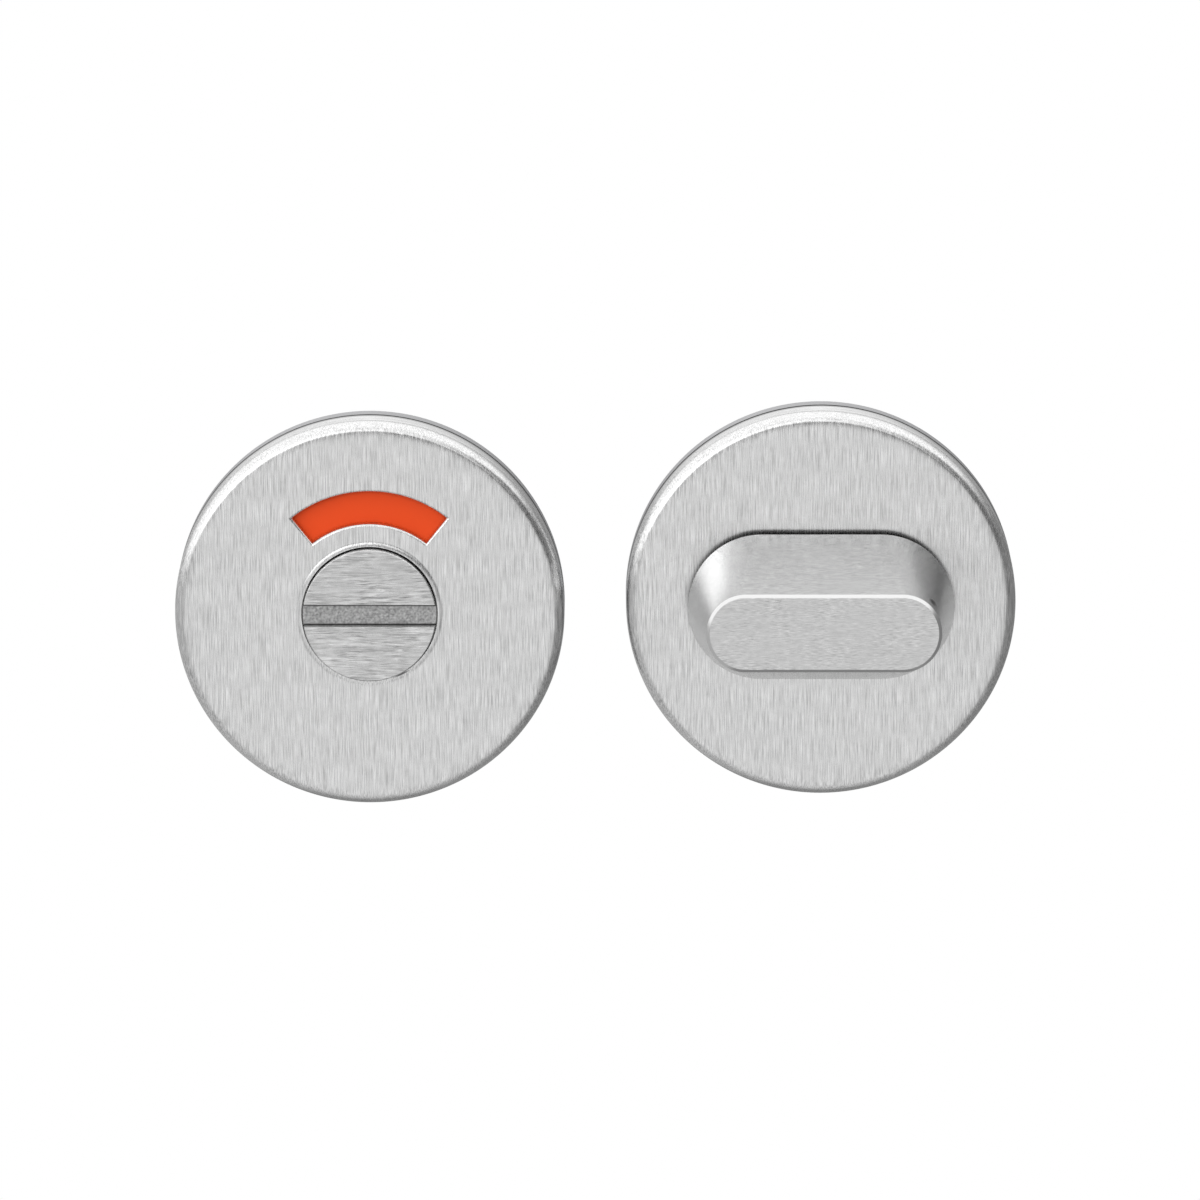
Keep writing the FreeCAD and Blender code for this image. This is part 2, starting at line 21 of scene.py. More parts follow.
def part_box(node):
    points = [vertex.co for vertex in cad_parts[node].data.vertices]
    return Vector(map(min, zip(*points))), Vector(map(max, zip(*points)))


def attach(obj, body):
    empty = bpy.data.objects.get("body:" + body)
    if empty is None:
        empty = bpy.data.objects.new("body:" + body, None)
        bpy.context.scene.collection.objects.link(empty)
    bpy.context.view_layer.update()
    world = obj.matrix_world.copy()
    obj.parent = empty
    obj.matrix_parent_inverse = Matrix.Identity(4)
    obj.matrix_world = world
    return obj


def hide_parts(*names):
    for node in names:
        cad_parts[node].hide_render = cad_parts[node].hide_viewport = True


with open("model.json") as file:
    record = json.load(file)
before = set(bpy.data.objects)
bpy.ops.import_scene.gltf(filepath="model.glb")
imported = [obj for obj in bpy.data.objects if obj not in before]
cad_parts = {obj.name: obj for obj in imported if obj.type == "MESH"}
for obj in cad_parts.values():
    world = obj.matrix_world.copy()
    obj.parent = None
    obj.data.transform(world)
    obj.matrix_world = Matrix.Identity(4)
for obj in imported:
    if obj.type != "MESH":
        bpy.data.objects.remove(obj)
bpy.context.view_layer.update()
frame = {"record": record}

LOG = logging.getLogger("thumb_turn_lock")

Point = tuple[float, float, float]
Colour = tuple[float, float, float]
Corner = tuple[float, ...]
Limits = tuple[float, float]
Reach = Callable[[float], float]
Makers = Mapping[str, tuple[Callable[[], bpy.types.Object], bpy.types.Material, float]]

MM = 0.001
FULL_TURN = 360.0
HALF_TURN = 180.0
QUARTER_TURN = 90.0
TWELVE_O_CLOCK = 90.0
SIX_O_CLOCK = -90.0
TURN_STEPS = 256
ARC_STEPS = 64
ROUND_STEPS = 12
OVERLAP = 0.5
SLIVER = 0.001
SETBACK = 0.1
HAIR_ANGLE = 0.02
SHARP_ANGLE = 30.0
BACK_FADE = 0.1
BOTH_SIDES = (-1, 1)
WHITE = (1.0, 1.0, 1.0, 1.0)
# Frames and places


@dataclass(frozen=True)
class Span:
    """A node's box in its rose's own frame, in millimetres."""

    low: Vector
    high: Vector

    @property
    def radius(self) -> float:
        """Half the width of the box."""
        return (self.high.x - self.low.x) / 2

    @property
    def width(self) -> float:
        """Width of the box, from left to right."""
        return self.high.x - self.low.x

    @property
    def back(self) -> float:
        """Lowest height above the door's face."""
        return self.low.z

    @property
    def front(self) -> float:
        """Greatest height above the door's face."""
        return self.high.z


@dataclass(frozen=True)
class Seat:
    """Where a rose stands on the door, and the change from its own frame to the object's."""

    x: float
    z: float

    @classmethod
    def of(cls, base: str) -> "Seat":
        """Finds a rose's seat.

        Args:
            base: Name of the node whose box is centred on the rose's axis.

        Returns:
            The seat, in metres in the object's frame.
        """
        low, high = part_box(base)
        return cls(round((low.x + high.x) / 2, 5), round((low.z + high.z) / 2, 5))

    def place(self, point: Point) -> Vector:
        """Takes a point from the rose's frame in millimetres to the object's in metres."""
        x, y, z = point
        return Vector((self.x + x * MM, -z * MM, self.z + y * MM))

    def span(self, node: str) -> Span:
        """Measures a node.

        Args:
            node: Name of the node.

        Returns:
            Its box in the rose's frame, in millimetres.
        """
        low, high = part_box(node)
        return Span(
            Vector((low.x - self.x, low.z - self.z, -high.y)) / MM,
            Vector((high.x - self.x, high.z - self.z, -low.y)) / MM,
        )


def polar(radius: float, angle: float, height: float) -> Point:
    """Point at a radius and an angle in degrees about the rose's axis."""
    turn = math.radians(angle)
    return (radius * math.cos(turn), radius * math.sin(turn), height)


def steps(start: float, end: float, count: int) -> list[float]:
    """Even values from a start up to an end, which is left out."""
    return [start + (end - start) * index / count for index in range(count)]


# Node trees


def operator(operation: str, swapped: bool = False) -> Callable[["Number", "Number | float"], "Number"]:
    """Makes an operator of numbers.

    Args:
        operation: Operation of the Math node that it adds.
        swapped: Whether the other number comes first, as in 1 - share.

    Returns:
        The operator.
    """

    def apply(number: "Number", other: "Number | float") -> "Number":
        """Adds the Math node."""
        values = (other, number) if swapped else (number, other)
        return number.math(operation, *values)

    return apply


class Number:
    """A socket that carries a number, with the sums that the trees are written in."""

    __add__, __radd__ = operator("ADD"), operator("ADD", swapped=True)
    __sub__, __rsub__ = operator("SUBTRACT"), operator("SUBTRACT", swapped=True)
    __mul__, __rmul__ = operator("MULTIPLY"), operator("MULTIPLY", swapped=True)
    __truediv__ = operator("DIVIDE")
    modulo = operator("MODULO")

    def __init__(self, tree: "Tree", socket: bpy.types.NodeSocket) -> None:
        """Keeps the socket and the tree that it belongs to."""
        self.tree = tree
        self.socket = socket

    def math(self, operation: str, *values: "Number | float") -> "Number":
        """Adds one Math node.

        Args:
            operation: The node's operation.
            values: What its inputs take, in order.

        Returns:
            The node's result.
        """
        return self.tree.number("ShaderNodeMath", {"operation": operation}, dict(enumerate(values)))

    def floor(self) -> "Number":
        """Next whole number down."""
        return self.math("FLOOR", self)

    def size(self) -> "Number":
        """The number without its sign."""
        return self.math("ABSOLUTE", self)

    def cosine(self) -> "Number":
        """Cosine of an angle in radians."""
        return self.math("COSINE", self)

    def sine(self) -> "Number":
        """Sine of an angle in radians."""
        return self.math("SINE", self)

    def ramp(self, low: float, high: float, smooth: bool = True) -> "Number":
        """Rises from 0 at one value to 1 at another.

        Args:
            low: Value at which it leaves 0.
            high: Value at which it reaches 1.
            smooth: Whether it eases in and out.

        Returns:
            The ramp.
        """
        kind = "SMOOTHSTEP" if smooth else "LINEAR"
        feeds = {"Value": self, "From Min": low, "From Max": high}
        return self.tree.number("ShaderNodeMapRange", {"interpolation_type": kind}, feeds)


class Tree:
    """A node tree, with one way to add any node."""

    def __init__(self, nodes: bpy.types.NodeTree) -> None:
        """Starts from an empty tree."""
        self.nodes = nodes
        self.nodes.nodes.clear()

    def add(
        self,
        kind: str,
        settings: Mapping[str, Any] | None = None,
        feeds: Mapping[str | int, Any] | None = None,
    ) -> bpy.types.Node:
        """Adds a node.

        Args:
            kind: The node's type.
            settings: Its own properties, which are set first.
            feeds: Values, numbers or sockets for its inputs, by name or place.

        Returns:
            The node.
        """
        node = self.nodes.nodes.new(kind)
        for name, value in (settings or {}).items():
            setattr(node, name, value)
        for key, value in (feeds or {}).items():
            self.feed(node.inputs[key], value)
        return node

    def feed(self, socket: bpy.types.NodeSocket, value: Any) -> None:
        """Links a number or a socket to an input, or sets its plain value."""
        if isinstance(value, Number):
            value = value.socket
        if isinstance(value, bpy.types.NodeSocket):
            self.nodes.links.new(value, socket)
        else:
            socket.default_value = value

    def number(
        self,
        kind: str,
        settings: Mapping[str, Any] | None = None,
        feeds: Mapping[str | int, Any] | None = None,
        output: str | int = 0,
    ) -> Number:
        """Adds a node and returns one of its outputs as a number."""
        return Number(self, self.add(kind, settings, feeds).outputs[output])

    def parts(self, vector: bpy.types.NodeSocket) -> tuple[Number, Number, Number]:
        """Splits a vector into its three numbers."""
        split = self.add("ShaderNodeSeparateXYZ", feeds={0: vector})
        return tuple(Number(self, output) for output in split.outputs)

    def vector(self, x: Any, y: Any, z: Any) -> bpy.types.NodeSocket:
        """Joins three numbers into a vector."""
        return self.add("ShaderNodeCombineXYZ", feeds={0: x, 1: y, 2: z}).outputs[0]


class ShapeTree(Tree):
    """A Geometry Nodes tree in a rose's frame, with named inputs for its sizes."""

    def __init__(self, name: str) -> None:
        """Makes the tree and its one output."""
        super().__init__(bpy.data.node_groups.new(name, "GeometryNodeTree"))
        self.name = name
        self.nodes.interface.new_socket("Shape", in_out="OUTPUT", socket_type="NodeSocketGeometry")
        self.entry = self.add("NodeGroupInput")
        self.exit = self.add("NodeGroupOutput")
        self.values: dict[str, float | int] = {}

    def size(self, name: str, value: float | int) -> Number:
        """Adds a named input.

        Args:
            name: What the size is called.
            value: Its value, a whole number where it counts something.

        Returns:
            The input as a number.
        """
        kind = "NodeSocketInt" if isinstance(value, int) else "NodeSocketFloat"
        socket = self.nodes.interface.new_socket(name, in_out="INPUT", socket_type=kind)
        self.values[socket.identifier] = value
        return Number(self, self.entry.outputs[name])

    def pick(self, index: Number, choices: Sequence[Number | float]) -> Number:
        """Takes one of several numbers, by a whole number from 0."""
        node = self.add("GeometryNodeIndexSwitch", {"data_type": "FLOAT"}, {0: index})
        while len(node.index_switch_items) < len(choices):
            node.index_switch_items.new()
        for place, choice in enumerate(choices):
            self.feed(node.inputs[place + 1], choice)
        return Number(self, node.outputs[0])

    def sheet(self, columns: Number | int, rows: Number | int) -> tuple[Any, Number, Number]:
        """Makes a grid of points to be laid on a form.

        Args:
            columns: How many points it has one way.
            rows: How many points it has the other way.

        Returns:
            The grid, and each point's column and row as whole numbers.
        """
        sizes = {"Size X": 1.0, "Size Y": 1.0, "Vertices X": columns, "Vertices Y": rows}
        grid = self.add("GeometryNodeMeshGrid", feeds=sizes)
        x, y, _ = self.parts(self.add("GeometryNodeInputPosition").outputs[0])
        column = ((x + 0.5) * (columns - 1) + 0.5).floor()
        row = ((y + 0.5) * (rows - 1) + 0.5).floor()
        return grid.outputs[0], column, row

    def laid(self, sheet: Any, x: Any, y: Any, z: Any) -> Any:
        """Moves a grid's points and joins those that meet."""
        spots = {"Geometry": sheet, "Position": self.vector(x, y, z)}
        moved = self.add("GeometryNodeSetPosition", feeds=spots)
        joining = {"Geometry": moved.outputs[0], "Distance": SLIVER}
        merged = self.add("GeometryNodeMergeByDistance", feeds=joining)
        return merged.outputs[0]

    def make(self, shape: Any, seat: Seat, finish: bpy.types.Material) -> bpy.types.Object:
        """Ends the tree, and turns its result into a plain mesh on a rose's seat.

        Args:
            shape: Socket that carries the shape, in the rose's frame.
            seat: Where the rose stands.
            finish: The shape's material.

        Returns:
            The finished object.
        """
        placing = {
            "Geometry": shape,
            "Translation": (seat.x, 0.0, seat.z),
            "Rotation": (math.radians(QUARTER_TURN), 0.0, 0.0),
            "Scale": (MM, MM, MM),
        }
        placed = self.add("GeometryNodeTransform", feeds=placing)
        real = self.add("GeometryNodeRealizeInstances", feeds={"Geometry": placed.outputs[0]})
        dressing = {"Geometry": real.outputs[0], "Material": finish}
        done = self.add("GeometryNodeSetMaterial", feeds=dressing)
        self.feed(self.exit.inputs[0], done.outputs[0])
        piece = shown(bpy.data.meshes.new(self.name))
        modifier = piece.modifiers.new(self.name, "NODES")
        modifier.node_group = self.nodes
        for identifier, value in self.values.items():
            modifier[identifier] = value
        freeze(piece)
        face_outwards(piece.data)
        return piece


class FinishTree(Tree):
    """A material's tree, with its shader and the patterns that finishes share."""

    GRAIN_LIMITS = (0.25, 0.75)
    SPOT_LIMITS = (0.3, 1.0)

    def __init__(self, name: str, **constants: Any) -> None:
        """Makes a material with one shader.

        Args:
            name: The material's name.
            constants: Values of the shader's sockets that are the same all over, in plain words.
        """
        self.material = bpy.data.materials.new(name)
        self.material.use_nodes = True
        super().__init__(self.material.node_tree)
        self.shader = self.add("ShaderNodeBsdfPrincipled")
        self.add("ShaderNodeOutputMaterial", feeds={"Surface": self.shader.outputs[0]})
        for word, value in constants.items():
            self.shader.inputs[word.replace("_", " ").title()].default_value = value
        self.place = self.add("ShaderNodeTexCoord").outputs["Object"]

    def grain(self, size: Point, seed: float, detail: float = 2.0, waviness: float = 0.0) -> Number:
        """Noise stretched along the axes.

        Args:
            size: Length of one grain along X, Y and Z, in millimetres.
            seed: Where in the noise it is taken.
            detail: How many finer layers it has.
            waviness: How far the grains bend.

        Returns:
            The grain, from 0 to 1 with its middle near 0.5.
        """
        scale = tuple(1.0 / (length * MM) for length in size)
        mapping = {"Vector": self.place, "Location": (seed, seed, seed), "Scale": scale}
        spot = self.add("ShaderNodeMapping", feeds=mapping).outputs[0]
        feeds = {"Vector": spot, "Scale": 1.0, "Detail": detail, "Distortion": waviness}
        return self.number("ShaderNodeTexNoise", feeds=feeds).ramp(*self.GRAIN_LIMITS, smooth=False)

    def spot(self, centre: Vector, radii: Point, tilt: float = 0.0) -> Number:
        """Soft spot about a place on the object.

        Args:
            centre: The spot's middle, in metres in the object's frame.
            radii: How far it reaches along X, Y and Z, in millimetres.
            tilt: How far it is turned, anticlockwise as the front is seen, in degrees.

        Returns:
            1 in the middle, falling to 0 at the reach.
        """
        scale = tuple(reach * MM for reach in radii)
        rotation = (0.0, -math.radians(tilt), 0.0)
        mapping = {"Vector": self.place, "Location": tuple(centre), "Rotation": rotation, "Scale": scale}
        near = self.add("ShaderNodeMapping", {"vector_type": "TEXTURE"}, mapping).outputs[0]
        far = self.number("ShaderNodeVectorMath", {"operation": "LENGTH"}, {0: near}, "Value")
        return 1.0 - far.ramp(*self.SPOT_LIMITS)

    def blend(self, factor: Number, dark: Any, light: Any) -> bpy.types.NodeSocket:
        """Mixes two colours by a number."""
        ends = {0: factor, 6: opaque(dark), 7: opaque(light)}
        return self.add("ShaderNodeMix", {"data_type": "RGBA"}, ends).outputs[2]

    def wear(self, colour: Any, roughness: Number, height: Number, strength: float, depth: float) -> None:
        """Feeds the shader.

        Args:
            colour: Socket of the base colour.
            roughness: Number of the roughness.
            height: Relief, from 0 to 1.
            strength: How strongly the relief turns the light.
            depth: Height of the relief in millimetres.
        """
        relief = {"Strength": strength, "Distance": depth * MM, "Height": height}
        bump = self.add("ShaderNodeBump", feeds=relief)
        self.feed(self.shader.inputs["Base Color"], colour)
        self.feed(self.shader.inputs["Roughness"], roughness)
        self.feed(self.shader.inputs["Normal"], bump.outputs[0])


def opaque(colour: Any) -> Any:
    """Adds a full alpha to a plain colour, and leaves a socket as it is."""
    return (*colour, 1.0) if isinstance(colour, tuple) else colour


def grey(level: float) -> Colour:
    """Plain grey of one level."""
    return (level, level, level)


# Finishes


class Brushing(Enum):
    """Which way a satin surface is brushed, as the axis that its streaks run along."""

    UPRIGHT = 2
    LEVEL = 0

    def streak(self, width: float, length: float) -> Point:
        """Size of one streak along X, Y and Z."""
        return tuple(length if axis == self.value else width for axis in range(3))


@dataclass(frozen=True)
class SmudgeAndShade:
    """A small dark spot on a surface, used both for real nicks and for painted shade."""

    centre: Vector
    radii: Point
    shade: float
    tilt: float = 0.0
    level: float = 0.15

@dataclass(frozen=True)
class DullFloorAndShade:
    """The floor of a slot, painted darker: partly its duller milled finish and partly painted shade, with
    darker painted shade in its corners beside the walls.
    """

    middle: Vector
    depth: float
    half_width: float
    shade: float
    corner: float = 0.28
    corner_shade_level: float = 0.06
    fade: float = 0.5
    speckle: float = 0.32
    levels: Limits = (0.26, 1.2)

@dataclass(frozen=True)
class SeamShade:
    """Painted shade: a dark line round a piece beside its neighbour, where the seam's shadow falls."""

    height: float
    half_width: float = 0.3
    fade: float = 0.2
    level: float = 0.06

    def shade(self, tree: FinishTree, colour: bpy.types.NodeSocket) -> bpy.types.NodeSocket:
        """Paints shade along the line by darkening the colour.

        Args:
            tree: The material's tree.
            colour: The colour beside the line.

        Returns:
            The colour with the painted shade line in it.
        """
        _, y, _ = tree.parts(tree.place)
        edge, end = self.half_width * MM, (self.half_width + self.fade) * MM
        away = (y + self.height * MM).size().ramp(edge, end)
        return tree.blend(1.0 - away, colour, grey(self.level))


@dataclass(frozen=True)
class SatinSteel:
    """Brushed stainless steel: short fine streaks, broader ones and a soft mottling."""

    name: str
    brushing: Brushing
    tone: float = 0.72
    contrast: float = 0.36
    crispness: float = 1.0
    steady: float = 0.25
    streak_width: float = 0.1
    streak_length: float = 2.2
    broad: float = 2.5
    mottle: float = 1.1
    patch: float = 3.0
    waviness: float = 0.06
    streak_share: float = 0.8
    broad_share: float = 0.2
    mottle_share: float = 0.16
    brightest: float = 0.95
    roughness: float = 0.27
    roughness_change: float = 0.06
    dulling: float = 0.2
    anisotropy: float = 0.75
    relief: float = 0.14
    relief_depth: float = 0.012
    marks: tuple[SmudgeAndShade, ...] = ()
    floor_and_shade: DullFloorAndShade | None = None
    seam_shade: SeamShade | None = None
    back_shade_height: float | None = None
    back_shade_level: float = 0.12
    rim_highlight: Limits | None = None
    rim_highlight_level: float = 0.68

    def material(self) -> bpy.types.Material:
        """Builds the material."""
        turned = 0.0 if self.brushing is Brushing.UPRIGHT else QUARTER_TURN / FULL_TURN
        tree = FinishTree(self.name, metallic=1.0, anisotropic=self.anisotropy, anisotropic_rotation=turned)
        pattern = self.pattern(tree)
        dark, light = self.tone * (1 - self.contrast), self.tone * (1 + self.contrast)
        colour = tree.blend(pattern, grey(dark), grey(min(light, self.brightest)))
        roughness = self.roughness + self.roughness_change * (pattern - 0.5)
        # Dark spots: a real nick on the grip, and painted shade beside the release head's bore.
        for mark in self.marks:
            spot = tree.spot(mark.centre, mark.radii, mark.tilt)
            colour = tree.blend(spot * mark.shade, colour, grey(self.tone * mark.level))
            roughness = roughness + self.dulling * (spot * mark.shade)
        # Slot floor: its duller milled finish plus painted shade, and darker painted shade in its corners.
        if self.floor_and_shade:
            floor, corners = self.floor_and_corner_shade(tree, self.floor_and_shade)
            specks = tree.grain((self.floor_and_shade.speckle,) * 3, seed=9.0, detail=4.0)
            dull_and_shaded = tree.blend(specks, *[grey(self.tone * level) for level in self.floor_and_shade.levels])
            colour = tree.blend(floor * self.floor_and_shade.shade, colour, dull_and_shaded)
            # Painted shade in the slot's corners.
            colour = tree.blend(floor * corners, colour, grey(self.tone * self.floor_and_shade.corner_shade_level))
            roughness = roughness + self.dulling * floor
        # Painted shade along the seam beside the base.
        if self.seam_shade:
            colour = self.seam_shade.shade(tree, colour)
        _, y, _ = tree.parts(tree.place)
        # Painted highlight: the front chamfer is made paler so that the edge reads as a bright line.
        if self.rim_highlight:
            low, high = self.rim_highlight
            ahead = y.ramp(-high * MM, (BACK_FADE - high) * MM)
            behind = y.ramp(-low * MM, (BACK_FADE - low) * MM)
            colour = tree.blend(ahead * (1.0 - behind), colour, grey(self.rim_highlight_level))
        # Painted shade: the grip's back, collar and stem below this height are darkened almost to black,
        # standing in for the shadow between grip and cover.
        if self.back_shade_height is not None:
            back = y.ramp(-(self.back_shade_height + BACK_FADE) * MM, -self.back_shade_height * MM)
            colour = tree.blend(back, colour, grey(self.tone * self.back_shade_level))
        tree.wear(colour, roughness, pattern, self.relief, self.relief_depth)
        return tree.material

    def pattern(self, tree: FinishTree) -> Number:
        """Lays the streaks and the mottling over each other.

        Args:
            tree: The material's tree.

        Returns:
            The pattern, with its middle near 0.5.
        """
        streak = self.brushing.streak(self.streak_width, self.streak_length)
        wide = tuple(size * self.broad for size in streak)
        fine = tree.grain(streak, seed=3.0, detail=2.0, waviness=self.waviness)
        soft = tree.grain(wide, seed=11.0, waviness=self.waviness)
        clouds = tree.grain((self.mottle,) * 3, seed=7.0, detail=3.0)
        patches = tree.grain((self.patch,) * 3, seed=15.0)
        change = 2 * (self.streak_share - self.steady)
        crisp = (fine - 0.5) * (self.steady + change * patches) * self.crispness
        return 0.5 + crisp + self.broad_share * (soft - 0.5) + self.mottle_share * (clouds - 0.5)

    @staticmethod
    def floor_and_corner_shade(tree: FinishTree, floor_and_shade: DullFloorAndShade) -> tuple[Number, Number]:
        """Finds a slot's floor, and the corners beside its walls that get painted shade.

        Args:
            tree: The material's tree.
            floor_and_shade: The slot's floor.

        Returns:
            1 on the floor, and 1 beside its walls, where the corners' painted shade goes.
        """
        _, y, z = tree.parts(tree.place)
        depth, fade = floor_and_shade.depth * MM, floor_and_shade.fade * MM
        floor = y.ramp(floor_and_shade.middle.y + depth - fade, floor_and_shade.middle.y + depth)
        inner = (floor_and_shade.half_width - floor_and_shade.corner) * MM
        return floor, (z - floor_and_shade.middle.z).size().ramp(inner, floor_and_shade.half_width * MM)


@dataclass(frozen=True)
class DieCastZinc:
    """Cast zinc under thin plating: even, with a fine skin and faint flow marks."""

    name: str = "die_cast_zinc"
    dark: Colour = (0.37, 0.37, 0.38)
    light: Colour = (0.49, 0.49, 0.50)
    roughness: float = 0.46
    roughness_change: float = 0.12
    metallic: float = 0.9
    grain_size: float = 0.35
    flow_size: float = 7.0
    flow_share: float = 0.7
    skin_share: float = 0.3
    relief: float = 0.25
    relief_depth: float = 0.02
    seam_shade: SeamShade | None = None

    def material(self) -> bpy.types.Material:
        """Builds the material."""
        tree = FinishTree(self.name, metallic=self.metallic)
        skin = tree.grain((self.grain_size,) * 3, seed=1.0, detail=3.0)
        flow = tree.grain((self.flow_size,) * 3, seed=5.0, detail=4.0)
        colour = tree.blend(flow * self.flow_share + skin * self.skin_share, self.dark, self.light)
        # Painted shade along the seam beside the cover.
        if self.seam_shade:
            colour = self.seam_shade.shade(tree, colour)
        roughness = self.roughness + self.roughness_change * (flow - 0.5)
        tree.wear(colour, roughness, skin, self.relief, self.relief_depth)
        return tree.material


@dataclass(frozen=True)
class Moulded:
    """Moulded plastic or printed film, with a faint even skin."""

    name: str
    colour: Colour
    shade: float = 0.94
    roughness: float = 0.42
    roughness_change: float = 0.08
    specular: float = 0.5
    grain_size: float = 0.3
    cloud_size: float = 5.0
    cloud_share: float = 0.6
    skin_share: float = 0.4
    relief: float = 0.1
    relief_depth: float = 0.01

    def material(self) -> bpy.types.Material:
        """Builds the material."""
        tree = FinishTree(self.name)
        tree.feed(tree.shader.inputs["Specular IOR Level"], self.specular)
        skin = tree.grain((self.grain_size,) * 3, seed=2.0, detail=3.0)
        cloud = tree.grain((self.cloud_size,) * 3, seed=8.0)
        dark = tuple(level * self.shade for level in self.colour)
        colour = tree.blend(cloud * self.cloud_share + skin * self.skin_share, dark, self.colour)
        roughness = self.roughness + self.roughness_change * (cloud - 0.5)
        tree.wear(colour, roughness, skin, self.relief, self.relief_depth)
        return tree.material


@dataclass(frozen=True)
class SmallSteel:
    """Small stamped or drawn steel parts, plated bright or oiled dark."""

    name: str
    dark: Colour
    light: Colour
    roughness: float
    roughness_change: float = 0.1
    grain_size: float = 0.25
    grain_stretch: float = 4.0
    cloud_size: float = 3.0
    cloud_share: float = 0.65
    skin_share: float = 0.35
    relief: float = 0.15
    relief_depth: float = 0.01

    def material(self) -> bpy.types.Material:
        """Builds the material."""
        tree = FinishTree(self.name, metallic=1.0)
        size = self.grain_size
        skin = tree.grain((size, size * self.grain_stretch, size), seed=4.0, detail=3.0)
        cloud = tree.grain((self.cloud_size,) * 3, seed=6.0, detail=3.0)
        colour = tree.blend(cloud * self.cloud_share + skin * self.skin_share, self.dark, self.light)
        roughness = self.roughness + self.roughness_change * (cloud - 0.5)
        tree.wear(colour, roughness, skin, self.relief, self.relief_depth)
        return tree.material


# Mesh forms


@dataclass
class Form:
    """Points and faces of one piece, in millimetres in its rose's frame."""

    points: list[Point] = field(default_factory=list)
    faces: list[tuple[int, ...]] = field(default_factory=list)

    def loop(self, points: Iterable[Point]) -> list[int]:
        """Adds points in order and returns their numbers."""
        first = len(self.points)
        self.points.extend(points)
        return list(range(first, len(self.points)))

    def bridge(self, near: Sequence[int], far: Sequence[int], closed: bool = True) -> None:
        """Adds the faces between two loops of the same count."""
        count = len(near)
        for index in range(count if closed else count - 1):
            after = (index + 1) % count
            self.faces.append((near[index], near[after], far[after], far[index]))

    def cap(self, loop: Sequence[int]) -> None:
        """Closes a loop with one face."""
        self.faces.append(tuple(loop))

    def build(self, seat: Seat) -> bpy.types.Object:
        """Turns the form into an object on a rose's seat, with its faces outwards."""
        mesh = bpy.data.meshes.new("form")
        mesh.from_pydata([seat.place(point) for point in self.points], [], self.faces)
        face_outwards(mesh)
        return shown(mesh)


def shown(mesh: bpy.types.Mesh) -> bpy.types.Object:
    """Puts a mesh in the scene."""
    piece = bpy.data.objects.new(mesh.name, mesh)
    bpy.context.scene.collection.objects.link(piece)
    return piece


def face_outwards(mesh: bpy.types.Mesh) -> None:
    """Turns a closed mesh's faces outwards and shades them smooth."""
    shape = bmesh.new()
    shape.from_mesh(mesh)
    bmesh.ops.recalc_face_normals(shape, faces=shape.faces)
    shape.to_mesh(mesh)
    shape.free()
    mesh.shade_smooth()


def freeze(piece: bpy.types.Object) -> None:
    """Turns what a piece's modifiers make of it into its plain mesh."""
    graph = bpy.context.evaluated_depsgraph_get()
    mesh = bpy.data.meshes.new_from_object(piece.evaluated_get(graph), depsgraph=graph)
    piece.modifiers.clear()
    spare = piece.data
    piece.data = mesh
    bpy.data.meshes.remove(spare)


class Join(Enum):
    """How one solid meets another."""

    ADD = "UNION"
    CUT = "DIFFERENCE"


def close_ends(piece: bpy.types.Object) -> None:
    """Closes each open end of a sheet with a fan of faces and turns all its faces outwards."""
    shape = bmesh.new()
    shape.from_mesh(piece.data)
    rims = [edge for edge in shape.edges if edge.is_boundary]
    ends = bmesh.ops.holes_fill(shape, edges=rims, sides=0)
    bmesh.ops.poke(shape, faces=ends["faces"])
    shape.to_mesh(piece.data)
    shape.free()
    face_outwards(piece.data)


def combine(piece: bpy.types.Object, how: Join, tools: Iterable[bpy.types.Object]) -> None:
    """Adds solids to a piece or cuts them from it, and removes them.

    Args:
        piece: The solid that stays.
        how: Whether the others are added or cut.
        tools: The other solids.
    """
    spent = list(tools)
    for tool in spent:
        step = piece.modifiers.new(tool.name, "BOOLEAN")
        step.operation = how.value
        step.solver = "EXACT"
        step.object = tool
    freeze(piece)
    for tool in spent:
        bpy.data.objects.remove(tool)


def soften(piece: bpy.types.Object, width: float, rounds: int = 2) -> None:
    """Rounds a piece's sharp edges a little and evens its shading.

    Args:
        piece: The piece.
        width: Width of the rounding in millimetres.
        rounds: How many faces go round an edge.
    """
    edge = piece.modifiers.new("edges", "BEVEL")
    edge.limit_method = "ANGLE"
    edge.angle_limit = math.radians(SHARP_ANGLE)
    edge.width = width * MM
    edge.segments = rounds
    edge.miter_outer = "MITER_ARC"
    freeze(piece)
    piece.data.shade_smooth()
    piece.modifiers.new("shading", "WEIGHTED_NORMAL")
    freeze(piece)


def rounded(corners: Sequence[Corner], closed: bool) -> list[tuple[float, float]]:
    """Outline through corners, with an arc at each that has a rounding.

    Args:
        corners: Radius and height of each corner, in order, and its rounding where it has one.
        closed: Whether the outline runs back to its start.

    Returns:
        Radius and height of each point.
    """
    outline: list[tuple[float, float]] = []
    for index, (radius, height, *rest) in enumerate(corners):
        bend = sum(rest)
        ends = not closed and index in (0, len(corners) - 1)
        if bend <= 0 or ends:
            outline.append((radius, height))
            continue
        here = Vector((radius, height))
        back = (Vector(corners[index - 1][:2]) - here).normalized()
        ahead = (Vector(corners[(index + 1) % len(corners)][:2]) - here).normalized()
        half = back.angle(ahead) / 2
        centre = here + (back + ahead).normalized() * (bend / math.sin(half))
        start = here + back * (bend / math.tan(half)) - centre
        end = here + ahead * (bend / math.tan(half)) - centre
        first = math.atan2(start.y, start.x)
        sweep = (math.atan2(end.y, end.x) - first + math.pi) % math.tau - math.pi
        for step in range(ROUND_STEPS + 1):
            angle = first + sweep * step / ROUND_STEPS
            outline.append((centre.x + bend * math.cos(angle), centre.y + bend * math.sin(angle)))
    return outline


